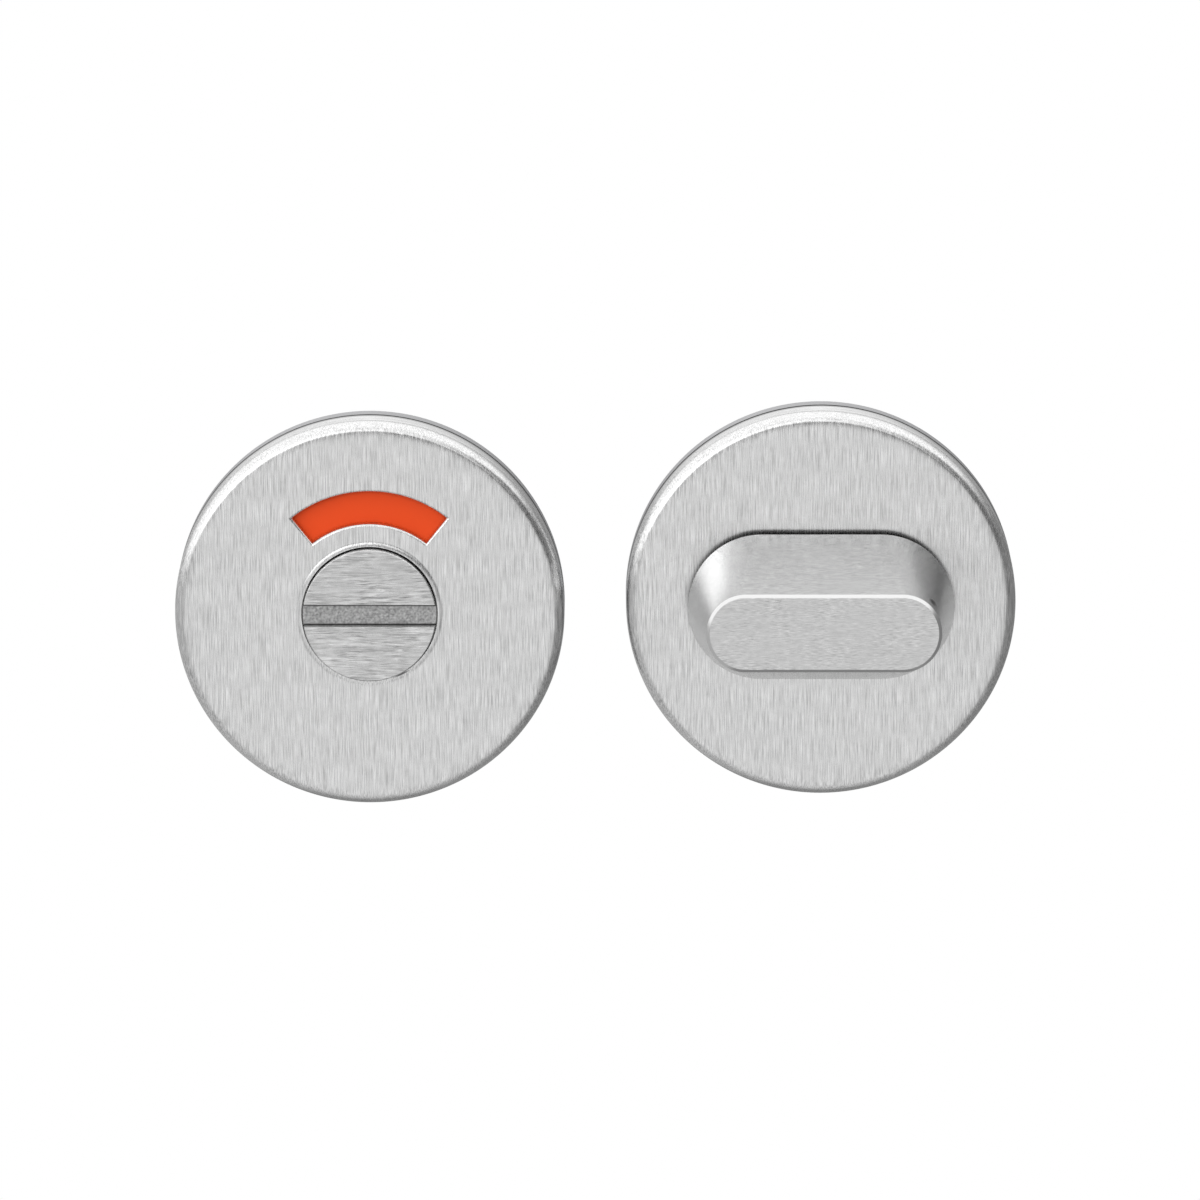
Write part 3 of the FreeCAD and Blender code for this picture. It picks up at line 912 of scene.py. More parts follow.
def turned(corners: Sequence[Corner], solid: bool = False, angles: Sequence[float] = ()) -> Form:
    """Form turned about the axis.

    Args:
        corners: Radius and height of each corner of its section, in order, with any rounding.
        solid: Whether the section's two ends are closed with flat faces, so that it has no bore.
        angles: Where its points lie round the axis; even steps where it is left out.

    Returns:
        The form.
    """
    around = list(angles) or steps(0.0, FULL_TURN, TURN_STEPS)
    form = Form()
    loops = [
        form.loop(polar(radius, angle, height) for angle in around)
        for radius, height in rounded(corners, not solid)
    ]
    for near, far in zip(loops, loops[1:]):
        form.bridge(near, far)
    if solid:
        form.cap(loops[0])
        form.cap(loops[-1])
    else:
        form.bridge(loops[-1], loops[0])
    return form


def plate(
    inner: Reach,
    outer: Reach,
    low: float,
    high: float,
    angles: Sequence[float],
    closed: bool = True,
) -> Form:
    """Flat plate between two outlines about the axis.

    Args:
        inner: Radius of the inner outline at an angle.
        outer: Radius of the outer outline at an angle.
        low: Height of its back.
        high: Height of its front.
        angles: Where its points lie round the axis.
        closed: Whether it runs all the way round.

    Returns:
        The form.
    """
    form = Form()
    loops = [
        form.loop(polar(reach(angle), angle, height) for angle in angles)
        for reach, height in ((inner, low), (outer, low), (outer, high), (inner, high))
    ]
    for index, near in enumerate(loops):
        form.bridge(near, loops[(index + 1) % len(loops)], closed)
    if not closed:
        form.cap([loop[0] for loop in loops])
        form.cap([loop[-1] for loop in loops])
    return form


def round_reach(radius: float) -> Reach:
    """Reach of a circle about the axis."""
    return lambda angle: radius


def flatted_reach(radius: float, flats: float) -> Reach:
    """Reach of a circle with two flats, which face up and down."""
    return lambda angle: min(radius, flats / 2 / max(abs(math.sin(math.radians(angle))), SLIVER))


def flatted_angles(radius: float, flats: float) -> list[float]:
    """Angles round a circle with two flats, with its four corners among them."""
    corner = math.degrees(math.asin(flats / 2 / radius))
    marks = [corner, HALF_TURN - corner, HALF_TURN + corner, FULL_TURN - corner]
    return sorted(set(steps(0.0, FULL_TURN, TURN_STEPS // 2) + marks))


def block(seat: Seat, across: Limits, upright: Limits, along: Limits) -> bpy.types.Object:
    """Rectangular block.

    Args:
        seat: Where its rose stands.
        across: Where it starts and ends from left to right.
        upright: Where it starts and ends from bottom to top.
        along: Where it starts and ends along the axis.

    Returns:
        The block.
    """
    form = Form()
    (left, right), (bottom, top) = across, upright
    spots = [(left, bottom), (right, bottom), (right, top), (left, top)]
    ends = [form.loop((x, y, z) for x, y in spots) for z in along]
    form.bridge(*ends)
    form.cap(ends[0])
    form.cap(ends[1])
    return form.build(seat)


def bar(seat: Seat, width: float, height: float, low: float, high: float) -> bpy.types.Object:
    """Rectangular bar that lies along the axis, from a low height to a high one."""
    return block(seat, (-width / 2, width / 2), (-height / 2, height / 2), (low, high))


def rod(
    seat: Seat,
    section: Sequence[Corner],
    x: float = 0.0,
    y: float = 0.0,
    count: int = 96,
) -> bpy.types.Object:
    """Round rod beside the axis and along it.

    Args:
        seat: Where its rose stands.
        section: Radius and height of each step along it.
        x: Its place to the right of the axis.
        y: Its place above the axis.
        count: How many points go round it.

    Returns:
        The rod.
    """
    form = turned(section, solid=True, angles=steps(0.0, FULL_TURN, count))
    form.points = [(px + x, py + y, pz) for px, py, pz in form.points]
    return form.build(seat)


def cross_rod(seat: Seat, radius: float, reach: float, height: float, count: int = 48) -> bpy.types.Object:
    """Round rod that crosses the axis from bottom to top."""
    form = turned([(radius, -reach), (radius, reach)], solid=True, angles=steps(0.0, FULL_TURN, count))
    form.points = [(x, z, height + y) for x, y, z in form.points]
    return form.build(seat)


# The record's names for a node


def body_of(node: str) -> str:
    """Body that a node belongs to."""
    bodies = frame["record"]["behaviour"]["bodies"]
    return next(body for body, nodes in bodies.items() if node in nodes)


def dress(piece: bpy.types.Object, node: str, finish: bpy.types.Material) -> None:
    """Gives a piece its finish and lets it stand for its node.

    Args:
        piece: The finished shape.
        node: Name of the node that it replaces.
        finish: Its material.
    """
    piece.name = f"finished_{node}"
    piece.data.name = piece.name
    piece.data.materials.clear()
    piece.data.materials.append(finish)
    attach(piece, body_of(node))
    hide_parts(node)
    LOG.info("%s: %d faces", piece.name, len(piece.data.polygons))


def dress_each(makers: Makers) -> None:
    """Builds, softens and dresses pieces in order.

    Args:
        makers: How each node's piece is made, its finish and the width of its edges' rounding.
    """
    for node, (make, finish, edge) in makers.items():
        piece = make()
        soften(piece, edge)
        dress(piece, node, finish)


@dataclass(frozen=True)
class Finishes:
    """The materials that the sub-assemblies share."""

    cover: bpy.types.Material
    head: bpy.types.Material
    grip: bpy.types.Material
    cast: bpy.types.Material
    nylon: bpy.types.Material
    spring: bpy.types.Material
    plated: bpy.types.Material
    white: bpy.types.Material
    red: bpy.types.Material

# Sub-assemblies

@dataclass
class Rose:
    """What both halves share: cover, base, bush, clip ring, wave washer, stop cam and circlip."""

    side: str
    finishes: Finishes
    cover_wall: float = 1.2
    cover_round: float = 1.5
    face_roll: float = 2.05
    face_drop: float = 0.16
    face_round: float = 10.3
    seam_step: float = 0.25
    seam_depth: float = 0.6
    lip_width: float = 0.0
    lip_height: float = 0.0
    lip_round: float = 1.2
    head_gap: float = 0.2
    edge: float = 0.07
    register_slip: float = 0.1
    register_chamfer: float = 0.5
    rim_wall: float = 2.3
    web: float = 2.0
    boss_radius: float = 13.5
    rib_count: int = 8
    rib_width: float = 1.2
    rib_setback: float = 0.4
    bush_outer: float = 6.2
    bush_wall: float = 1.2
    bush_gap: float = 0.02
    bush_slip: float = 0.05
    shoulder_slip: float = 0.05
    clip_wire: float = 0.8
    clip_bite: float = 0.3
    clip_gap: float = 0.05
    clip_gap_angle: float = 24.0
    clip_steps: int = 180
    fixing_inset: float = 5.7
    pillar_radius: float = 5.0
    screw_pillar_radius: float = 4.4
    screw_radius: float = 2.1
    sink_radius: float = 3.9
    tab_half_angle: float = 15.0
    tab_length: float = 3.0
    tab_headroom: float = 0.25
    stop_play: float = 0.5
    cam_gap: float = 0.4
    stem_flats: float = 8.4
    groove_depth: float = 0.3
    groove_play: float = 0.1
    fit: float = 0.02
    washer_gap: float = 0.3
    washer_outer: float = 8.0
    washer_thickness: float = 0.3
    waves: int = 3
    wave_steps: int = 144
    circlip_band: float = 1.2
    circlip_offset: float = 0.35
    circlip_half_gap: float = 13.0
    circlip_steps: int = 300
    ear_radius: float = 1.2
    ear_setback: float = 6.5
    ear_angle: float = 24.0
    ear_hole: float = 0.5
    ear_hole_steps: int = 32

    def __post_init__(self) -> None:
        """Takes the sizes that the frame already holds."""
        self.seat = Seat.of(f"{self.side}_base")
        cover = self.own_span("cover")
        self.radius, self.depth, self.flange = cover.radius, cover.front, cover.back
        self.base_front = self.own_span("base").front
        self.bush = self.own_span("bush")
        self.washer = self.own_span("wave_washer")
        self.cam = self.own_span("stop_cam")
        self.circlip = self.own_span("circlip")
        self.inner_face = self.depth - self.cover_wall
        self.inner_radius = self.radius - self.cover_wall
        self.register = self.inner_radius - self.register_slip
        self.fixing_circle = self.register - self.fixing_inset
        self.recess_floor = self.bush.back
        self.clip_outer = self.inner_radius + self.clip_bite - self.clip_gap
        self.clip_inner = self.clip_outer - self.clip_wire
        self.clip_height = (self.flange + self.base_front) / 2
        self.web_back = self.base_front - self.web
        self.pocket = self.register - self.rim_wall
        self.stem_radius = self.bush_outer - self.bush_wall
        self.cam_radius = self.cam.high.y
        self.tab_radius = self.cam_radius + self.tab_length
        self.shoulder = self.bush.front + self.shoulder_slip

    def own_span(self, name: str) -> Span:
        """Box of a piece that both halves have."""
        return self.seat.span(f"{self.side}_{name}")
    @property
    def head_radius(self) -> float:
        """Radius of what turns in the cover's bore."""
        return self.stem_part.radius

    @property
    def stem_part(self) -> Span:
        """Box of the piece that carries the stem."""
        raise NotImplementedError

    @property
    def tab_angle(self) -> float:
        """Where the stop cam's tab points at rest."""
        raise NotImplementedError

    def clip_space(self) -> tuple[float, float]:
        """Heights between which the clip ring's groove runs."""
        half = self.clip_wire / 2 + self.clip_gap
        return self.clip_height - half, self.clip_height + half

    def cover_section(self, marks: Sequence[float] = (), front_marks: Sequence[float] = ()) -> list[Corner]:
        """Section of the cover, a pressed shell.

        Args:
            marks: Radii at which the inner face gets a further line, from small to large.
            front_marks: The same for the front face.

        Returns:
            Its corners.
        """
        groove_low, groove_high = self.clip_space()
        hole = self.head_radius + self.head_gap
        return [
            (hole, self.inner_face),
            *[(radius, self.inner_face, 0.0) for radius in marks],
            (self.inner_radius, self.inner_face),
            (self.inner_radius, groove_high),
            (self.inner_radius + self.clip_bite, groove_high),
            (self.inner_radius + self.clip_bite, groove_low),
            (self.inner_radius, groove_low),
            (self.inner_radius, self.flange),
            (self.radius - self.seam_depth, self.flange),
            (self.radius - self.seam_depth, self.flange + self.seam_step),
            (self.radius, self.flange + self.seam_step),
            (self.radius, self.depth - self.face_drop, self.cover_round),
            (self.radius - self.face_roll, self.depth, self.face_round),
            *[(radius, self.depth, 0.0) for radius in reversed(front_marks)],
            *([(hole + self.lip_width, self.depth, self.lip_round)] if self.lip_width else []),
            (hole, self.depth + self.lip_height),
        ]

    def make_cover(self) -> bpy.types.Object:
        """Builds the cover."""
        return turned(self.cover_section()).build(self.seat)

    def base_section(self) -> list[Corner]:
        """Section of the base, a casting with a flange, a register, a web and a bearing boss."""
        groove_low, groove_high = self.clip_space()
        groove = self.clip_inner - self.clip_gap
        hole = self.bush_outer + self.bush_gap
        recess = self.cam_radius + self.cam_gap
        return [
            (hole, self.recess_floor),
            (hole, self.base_front),
            (self.register - self.register_chamfer, self.base_front),
            (self.register, self.base_front - self.register_chamfer),
            (self.register, groove_high),
            (groove, groove_high),
            (groove, groove_low),
            (self.register, groove_low),
            (self.register, self.flange),
            (self.radius - self.seam_depth, self.flange),
            (self.radius - self.seam_depth, self.flange - self.seam_step),
            (self.radius, self.flange - self.seam_step),
            (self.radius, 0.0),
            (self.pocket, 0.0),
            (self.pocket, self.web_back),
            (self.boss_radius, self.web_back),
            (self.boss_radius, 0.0),
            (recess, 0.0),
            (recess, self.recess_floor),
        ]

    def make_ribs(self) -> bpy.types.Object:
        """Builds the ribs that brace the base's web."""
        tree = ShapeTree("base_ribs")
        count = tree.size("Count", self.rib_count)
        inner = tree.size("Inner radius", self.boss_radius - OVERLAP)
        outer = tree.size("Outer radius", self.pocket + OVERLAP)
        width = tree.size("Width", self.rib_width)
        back = tree.size("Back", self.rib_setback)
        front = tree.size("Front", self.web_back + OVERLAP)
        rib_size = tree.vector(outer - inner, width, front - back)
        cube = tree.add("GeometryNodeMeshCube", feeds={"Size": rib_size})
        middle = tree.vector((outer + inner) * 0.5, 0.0, (front + back) * 0.5)
        placing = {"Geometry": cube.outputs[0], "Translation": middle}
        rib = tree.add("GeometryNodeTransform", feeds=placing).outputs[0]
        points = tree.add("GeometryNodeMeshLine", feeds={"Count": count, "Offset": (0.0, 0.0, 0.0)})
        index = tree.number("GeometryNodeInputIndex")
        turn = tree.vector(0.0, 0.0, (index + 0.5) * math.tau / count)
        copies = {"Points": points.outputs[0], "Instance": rib, "Rotation": turn}
        ribs = tree.add("GeometryNodeInstanceOnPoints", feeds=copies)
        return tree.make(ribs.outputs[0], self.seat, self.finishes.cast)

    def fixings(self) -> tuple[list[bpy.types.Object], list[bpy.types.Object]]:
        """Solids to add to the base and to cut from it at the bolts' places."""
        raise NotImplementedError

    def make_base(self) -> bpy.types.Object:
        """Builds the base."""
        base = turned(self.base_section()).build(self.seat)
        added, cuts = self.fixings()
        added.append(self.make_ribs())
        sink = self.sink_radius - self.screw_radius
        for side in BOTH_SIDES:
            y = side * self.fixing_circle
            pillar = [(self.screw_pillar_radius, z) for z in (SETBACK, self.web_back + OVERLAP)]
            added.append(rod(self.seat, pillar, y=y))
            hole = [
                (self.screw_radius, -OVERLAP),
                (self.screw_radius, self.base_front - sink),
                (self.sink_radius, self.base_front),
                (self.sink_radius, self.base_front + OVERLAP),
            ]
            cuts.append(rod(self.seat, hole, y=y))
        half = QUARTER_TURN / 2 + self.tab_half_angle + self.stop_play
        arc = steps(SIX_O_CLOCK - half, SIX_O_CLOCK + half, ARC_STEPS) + [SIX_O_CLOCK + half]
        inner = round_reach(self.cam_radius + self.cam_gap - OVERLAP)
        outer = round_reach(self.tab_radius + self.cam_gap)
        pocket = plate(inner, outer, -OVERLAP, self.cam.front + self.tab_headroom, arc, closed=False)
        cuts.append(pocket.build(self.seat))
        combine(base, Join.ADD, added)
        combine(base, Join.CUT, cuts)
        return base

    def make_bush(self) -> bpy.types.Object:
        """Builds the flanged bush in which the stem turns."""
        hole = self.stem_radius + self.bush_slip
        section = [
            (hole, self.bush.back),
            (self.bush_outer, self.bush.back),
            (self.bush_outer, self.base_front),
            (self.bush.radius, self.base_front),
            (self.bush.radius, self.bush.front),
            (hole, self.bush.front),
        ]
        return turned(section).build(self.seat)

    def make_clip_ring(self) -> bpy.types.Object:
        """Builds the open wire ring that holds the cover on its base."""
        tree = ShapeTree("clip_ring")
        radius = tree.size("Radius", (self.clip_outer + self.clip_inner) / 2)
        wire = tree.size("Wire", self.clip_wire)
        height = tree.size("Height", self.clip_height)
        gap = tree.size("Gap angle", math.radians(self.clip_gap_angle))
        start = math.radians(TWELVE_O_CLOCK) + gap * 0.5
        arc_sizes = {
            "Resolution": self.clip_steps, "Radius": radius,
            "Start Angle": start, "Sweep Angle": math.tau - gap,
        }
        arc = tree.add("GeometryNodeCurveArc", {"mode": "RADIUS"}, arc_sizes).outputs[0]
        square = {"Width": wire, "Height": wire}
        kind = "GeometryNodeCurvePrimitiveQuadrilateral"
        profile = tree.add(kind, {"mode": "RECTANGLE"}, square).outputs[0]
        sweep = {"Curve": arc, "Profile Curve": profile, "Fill Caps": True}
        ring = tree.add("GeometryNodeCurveToMesh", feeds=sweep).outputs[0]
        placing = {"Geometry": ring, "Translation": tree.vector(0.0, 0.0, height)}
        raised = tree.add("GeometryNodeTransform", feeds=placing)
        return tree.make(raised.outputs[0], self.seat, self.finishes.spring)

    def make_washer(self) -> bpy.types.Object:
        """Builds the wave washer, whose four rims rise and fall in equal waves."""
        tree = ShapeTree("wave_washer")
        inner = tree.size("Inner radius", self.stem_radius + self.washer_gap)
        outer = tree.size("Outer radius", self.washer_outer)
        low = tree.size("Lowest", self.washer.back)
        thickness = tree.size("Thickness", self.washer_thickness)
        rise = tree.size("Wave height", self.washer.front - self.washer.back - self.washer_thickness)
        count = tree.size("Waves", self.waves)
        radii = [inner, outer, outer, inner, inner]
        levels = [0.0, 0.0, 1.0, 1.0, 0.0]
        sheet, column, row = tree.sheet(self.wave_steps + 1, len(radii))
        angle = column * (math.tau / self.wave_steps)
        radius = tree.pick(row, radii)
        level = tree.pick(row, levels)
        wave = rise * 0.5 * (1.0 + (angle * count).cosine())
        height = low + level * thickness + wave
        ring = tree.laid(sheet, radius * angle.cosine(), radius * angle.sine(), height)
        return tree.make(ring, self.seat, self.finishes.spring)

    def make_cam(self) -> bpy.types.Object:
        """Builds the stop cam, a washer with a tab and a hole with two flats."""
        radius, flats = self.stem_radius + self.fit, self.stem_flats + 2 * self.fit
        tab, half = self.tab_angle % FULL_TURN, self.tab_half_angle
        angles = flatted_angles(radius, flats)
        for edge in (tab - half, tab + half):
            angles += [(edge - HAIR_ANGLE) % FULL_TURN, (edge + HAIR_ANGLE) % FULL_TURN]

        def outer(angle: float) -> float:
            """Radius of the cam, with its tab."""
            away = abs((angle - tab + HALF_TURN) % FULL_TURN - HALF_TURN)
            return self.tab_radius if away < half else self.cam_radius

        inner = flatted_reach(radius, flats)
        return plate(inner, outer, self.cam.back, self.cam.front, sorted(set(angles))).build(self.seat)

    def make_circlip(self) -> bpy.types.Object:
        """Builds the circlip, an open ring with two drilled ears."""
        inner = self.stem_radius - self.groove_depth + self.fit
        band = inner + self.circlip_band
        ears = [TWELVE_O_CLOCK + side * self.ear_angle for side in BOTH_SIDES]

        def outer(angle: float) -> float:
            """Radius of the band, or of an ear where that reaches further."""
            turn = math.radians(angle)
            drop = -self.circlip_offset * math.sin(turn)
            reach = drop + math.sqrt(band**2 - (self.circlip_offset * math.cos(turn)) ** 2)
            for ear in ears:
                across = self.ear_setback * math.sin(turn - math.radians(ear))
                if abs(across) < self.ear_radius and math.cos(turn - math.radians(ear)) > 0:
                    along = self.ear_setback * math.cos(turn - math.radians(ear))
                    reach = max(reach, along + math.sqrt(self.ear_radius**2 - across**2))
            return reach

        start = TWELVE_O_CLOCK + self.circlip_half_gap
        end = TWELVE_O_CLOCK + FULL_TURN - self.circlip_half_gap
        angles = steps(start, end, self.circlip_steps) + [end]
        low, high = self.circlip.back, self.circlip.front
        ring = plate(round_reach(inner), outer, low, high, angles, closed=False).build(self.seat)
        holes = []
        for ear in ears:
            x, y, _ = polar(self.ear_setback, ear, 0.0)
            hole = [(self.ear_hole, low - OVERLAP), (self.ear_hole, high + OVERLAP)]
            holes.append(rod(self.seat, hole, x, y, self.ear_hole_steps))
        combine(ring, Join.CUT, holes)
        return ring

    def stem_section(self) -> list[Corner]:
        """Section of the stem from its end up to its shoulder, for a solid turned part."""
        groove = self.stem_radius - self.groove_depth
        groove_back = self.circlip.back - self.groove_play
        return [
            (self.stem_radius, self.stem_end),
            (self.stem_radius, groove_back),
            (groove, groove_back),
            (groove, self.cam.back),
            (self.stem_radius, self.cam.back),
            (self.stem_radius, self.shoulder),
        ]

    @property
    def stem_end(self) -> float:
        """Where the stem ends."""
        return self.stem_part.back

    def flats(self) -> list[bpy.types.Object]:
        """Blocks that cut the stem's two flats, above and below."""
        reach = self.stem_radius + OVERLAP
        along = (self.stem_part.back - OVERLAP, self.washer.back)
        return [
            block(self.seat, (-reach, reach), (self.stem_flats / 2 * side, reach * side), along)
            for side in BOTH_SIDES
        ]

    def dress_shared(self) -> None:
        """Builds and dresses the pieces that both halves have."""
        spring = self.finishes.spring
        dress_each({
            f"{self.side}_cover": (self.make_cover, self.finishes.cover, self.edge),
            f"{self.side}_base": (self.make_base, self.finishes.cast, self.edge * 2),
            f"{self.side}_bush": (self.make_bush, self.finishes.nylon, self.edge * 2),
            f"{self.side}_clip_ring": (self.make_clip_ring, spring, self.edge),
            f"{self.side}_wave_washer": (self.make_washer, spring, self.edge / 2),
            f"{self.side}_stop_cam": (self.make_cam, self.finishes.plated, self.edge),
            f"{self.side}_circlip": (self.make_circlip, spring, self.edge),
        })


@dataclass
class CoinRelease(Rose):
    """The outer half: a slotted head in the middle, and a window on the indicator."""

    window_inner: float = 12.2
    window_outer: float = 16.5
    window_half_angle: float = 38.5
    window_steps: int = 56
    window_edge: float = 0.4
    lip_width: float = 0.65
    lip_height: float = 0.16
    head_chamfer: float = 0.12
    slot_width: float = 3.0
    slot_depth: float = 1.6
    key_radius: float = 6.0
    key_flats: float = 10.0
    socket_width: float = 5.1
    socket_depth: float = 7.6
    film_inner: float = 10.8
    film_half_angle: float = 45.0
    lug_radius: float = 3.6
    lug_length: float = 8.0
    lug_hole: float = 1.7
    lug_chamfer: float = 0.4
    lug_hole_depth: float = 10.5

    @property
    def stem_part(self) -> Span:
        """Box of the release head, which carries the stem."""
        return self.seat.span("release_head")

    @property
    def tab_angle(self) -> float:
        """The tab stands at the end of its pocket, to the right of six o'clock."""
        return SIX_O_CLOCK + QUARTER_TURN / 2

    def make_cover(self) -> bpy.types.Object:
        """Builds the cover with its curved window about twelve o'clock."""
        start, end = TWELVE_O_CLOCK - self.window_half_angle, TWELVE_O_CLOCK + self.window_half_angle
        margin, edge = self.window_margin, self.window_edge
        arc = [start - margin, *steps(start, end, self.window_steps), end, end + margin]
        rest = steps(end + margin, start - margin + FULL_TURN, TURN_STEPS - self.window_steps)
        marks = (self.window_inner, self.window_outer)
        front_marks = (self.window_inner - edge, self.window_outer + edge)
        form = turned(self.cover_section(marks, front_marks), angles=arc[:-1] + rest)
        piece = form.build(self.seat)
        shape = bmesh.new()
        shape.from_mesh(piece.data)
        opened = [face for face in shape.faces if self.in_window(face.calc_center_median())]
        bmesh.ops.delete(shape, geom=opened, context="FACES")
        rims = [[shape.verts.new(point) for point in rim] for rim in self.window_rims(arc)]
        for near, far in zip(rims, rims[1:]):
            for index in range(len(near)):
                shape.faces.new((near[index - 1], near[index], far[index], far[index - 1]))
        bmesh.ops.remove_doubles(shape, verts=shape.verts, dist=SLIVER * MM)
        shape.to_mesh(piece.data)
        shape.free()
        face_outwards(piece.data)
        return piece

    @property
    def window_margin(self) -> float:
        """How many degrees the window's rounded edge takes at each end of the window."""
        return math.degrees(self.window_edge * 2 / (self.window_inner + self.window_outer))

    def window_rims(self, arc: Sequence[float]) -> list[list[Vector]]:
        """Outlines of the window, from the front face over its rounded edge to the inner face.

        Args:
            arc: Where the outline's points lie round the axis, from one end to the other.

        Returns:
            The points of each outline.
        """
        edge = self.window_edge
        bends = [math.radians(QUARTER_TURN * step / ROUND_STEPS) for step in range(ROUND_STEPS + 1)]
        levels = [(1 - math.sin(bend), self.depth - edge * (1 - math.cos(bend))) for bend in bends]
        rims = []
        for share, height in [*levels, (0.0, self.inner_face)]:
            reach = self.window_half_angle + self.window_margin * share
            angles = [min(max(angle, TWELVE_O_CLOCK - reach), TWELVE_O_CLOCK + reach) for angle in arc]
            inner = [polar(self.window_inner - edge * share, angle, height) for angle in angles]
            outer = [polar(self.window_outer + edge * share, angle, height) for angle in reversed(angles)]
            rims.append([self.seat.place(point) for point in inner + outer])
        return rims

    def in_window(self, place: Vector) -> bool:
        """Whether a place on the cover's front or inner face lies in the window's opening there."""
        x, y = (place.x - self.seat.x) / MM, (place.z - self.seat.z) / MM
        front = abs(place.y - self.seat.place((0.0, 0.0, self.depth)).y) < SLIVER * MM
        edge = self.window_edge if front else 0.0
        reach = self.window_half_angle + (self.window_margin if front else 0.0)
        away = abs(math.degrees(math.atan2(y, x)) - TWELVE_O_CLOCK)
        return self.window_inner - edge < math.hypot(x, y) < self.window_outer + edge and away < reach

    def fixings(self) -> tuple[list[bpy.types.Object], list[bpy.types.Object]]:
        """Two tapped lugs that reach into the door."""
        added, cuts = [], []
        for side in BOTH_SIDES:
            x = side * self.fixing_circle
            lug = [
                (self.lug_radius, -self.lug_length),
                (self.lug_radius, SETBACK),
                (self.pillar_radius, SETBACK),
                (self.pillar_radius, self.web_back + OVERLAP),
            ]
            added.append(rod(self.seat, lug, x))
            hole = [
                (self.lug_hole + self.lug_chamfer + OVERLAP, -self.lug_length - OVERLAP),
                (self.lug_hole, -self.lug_length + self.lug_chamfer),
                (self.lug_hole, self.lug_hole_depth - self.lug_length),
            ]
            cuts.append(rod(self.seat, hole, x))
        return added, cuts

    def make_head(self) -> bpy.types.Object:
        """Builds the turned head with its coin slot, key and stem."""
        front, disc_front = self.stem_part.front, self.seat.span("indicator_disc").front
        section = [
            *self.stem_section(),
            (self.key_radius, self.shoulder),
            (self.key_radius, disc_front),
            (self.head_radius, disc_front),
            (self.head_radius, front - self.head_chamfer),
            (self.head_radius - self.head_chamfer, front),
        ]
        head = turned(section, solid=True).build(self.seat)
        wide = self.head_radius + OVERLAP
        slot_floor = front - self.slot_depth
        slot = bar(self.seat, 2 * wide, self.slot_width, slot_floor, front + OVERLAP)
        low = self.stem_part.back
        socket = bar(self.seat, self.socket_width, self.socket_width, low - OVERLAP, low + self.socket_depth)
        combine(head, Join.CUT, [slot, socket, *self.flats()])
        return head

    def make_disc(self) -> bpy.types.Object:
        """Builds the indicator disc, keyed to the head."""
        disc = self.seat.span("indicator_disc")
        radius, flats = self.key_radius + self.fit, self.key_flats + 2 * self.fit
        inner, outer = flatted_reach(radius, flats), round_reach(disc.radius)
        shape = plate(inner, outer, disc.back, disc.front, flatted_angles(radius, flats))
        return shape.build(self.seat)

    def make_film(self) -> bpy.types.Object:
        """Builds the two sectors of red film, at twelve and at six o'clock."""
        film = self.seat.span("indicator_red_film")
        whole = Form()
        for middle in (TWELVE_O_CLOCK, SIX_O_CLOCK):
            start, end = middle - self.film_half_angle, middle + self.film_half_angle
            angles = steps(start, end, ARC_STEPS) + [end]
            outer = round_reach(film.high.y)
            part = plate(round_reach(self.film_inner), outer, film.back, film.front, angles, closed=False)
            first = len(whole.points)
            whole.points.extend(part.points)
            whole.faces.extend(tuple(number + first for number in face) for face in part.faces)
        return whole.build(self.seat)

    def dress_all(self) -> None:
        """Builds and dresses every piece of this half."""
        self.dress_shared()
        dress_each({
            "release_head": (self.make_head, self.finishes.head, self.edge),
            "indicator_disc": (self.make_disc, self.finishes.white, self.edge),
            "indicator_red_film": (self.make_film, self.finishes.red, self.edge / 4),
        })


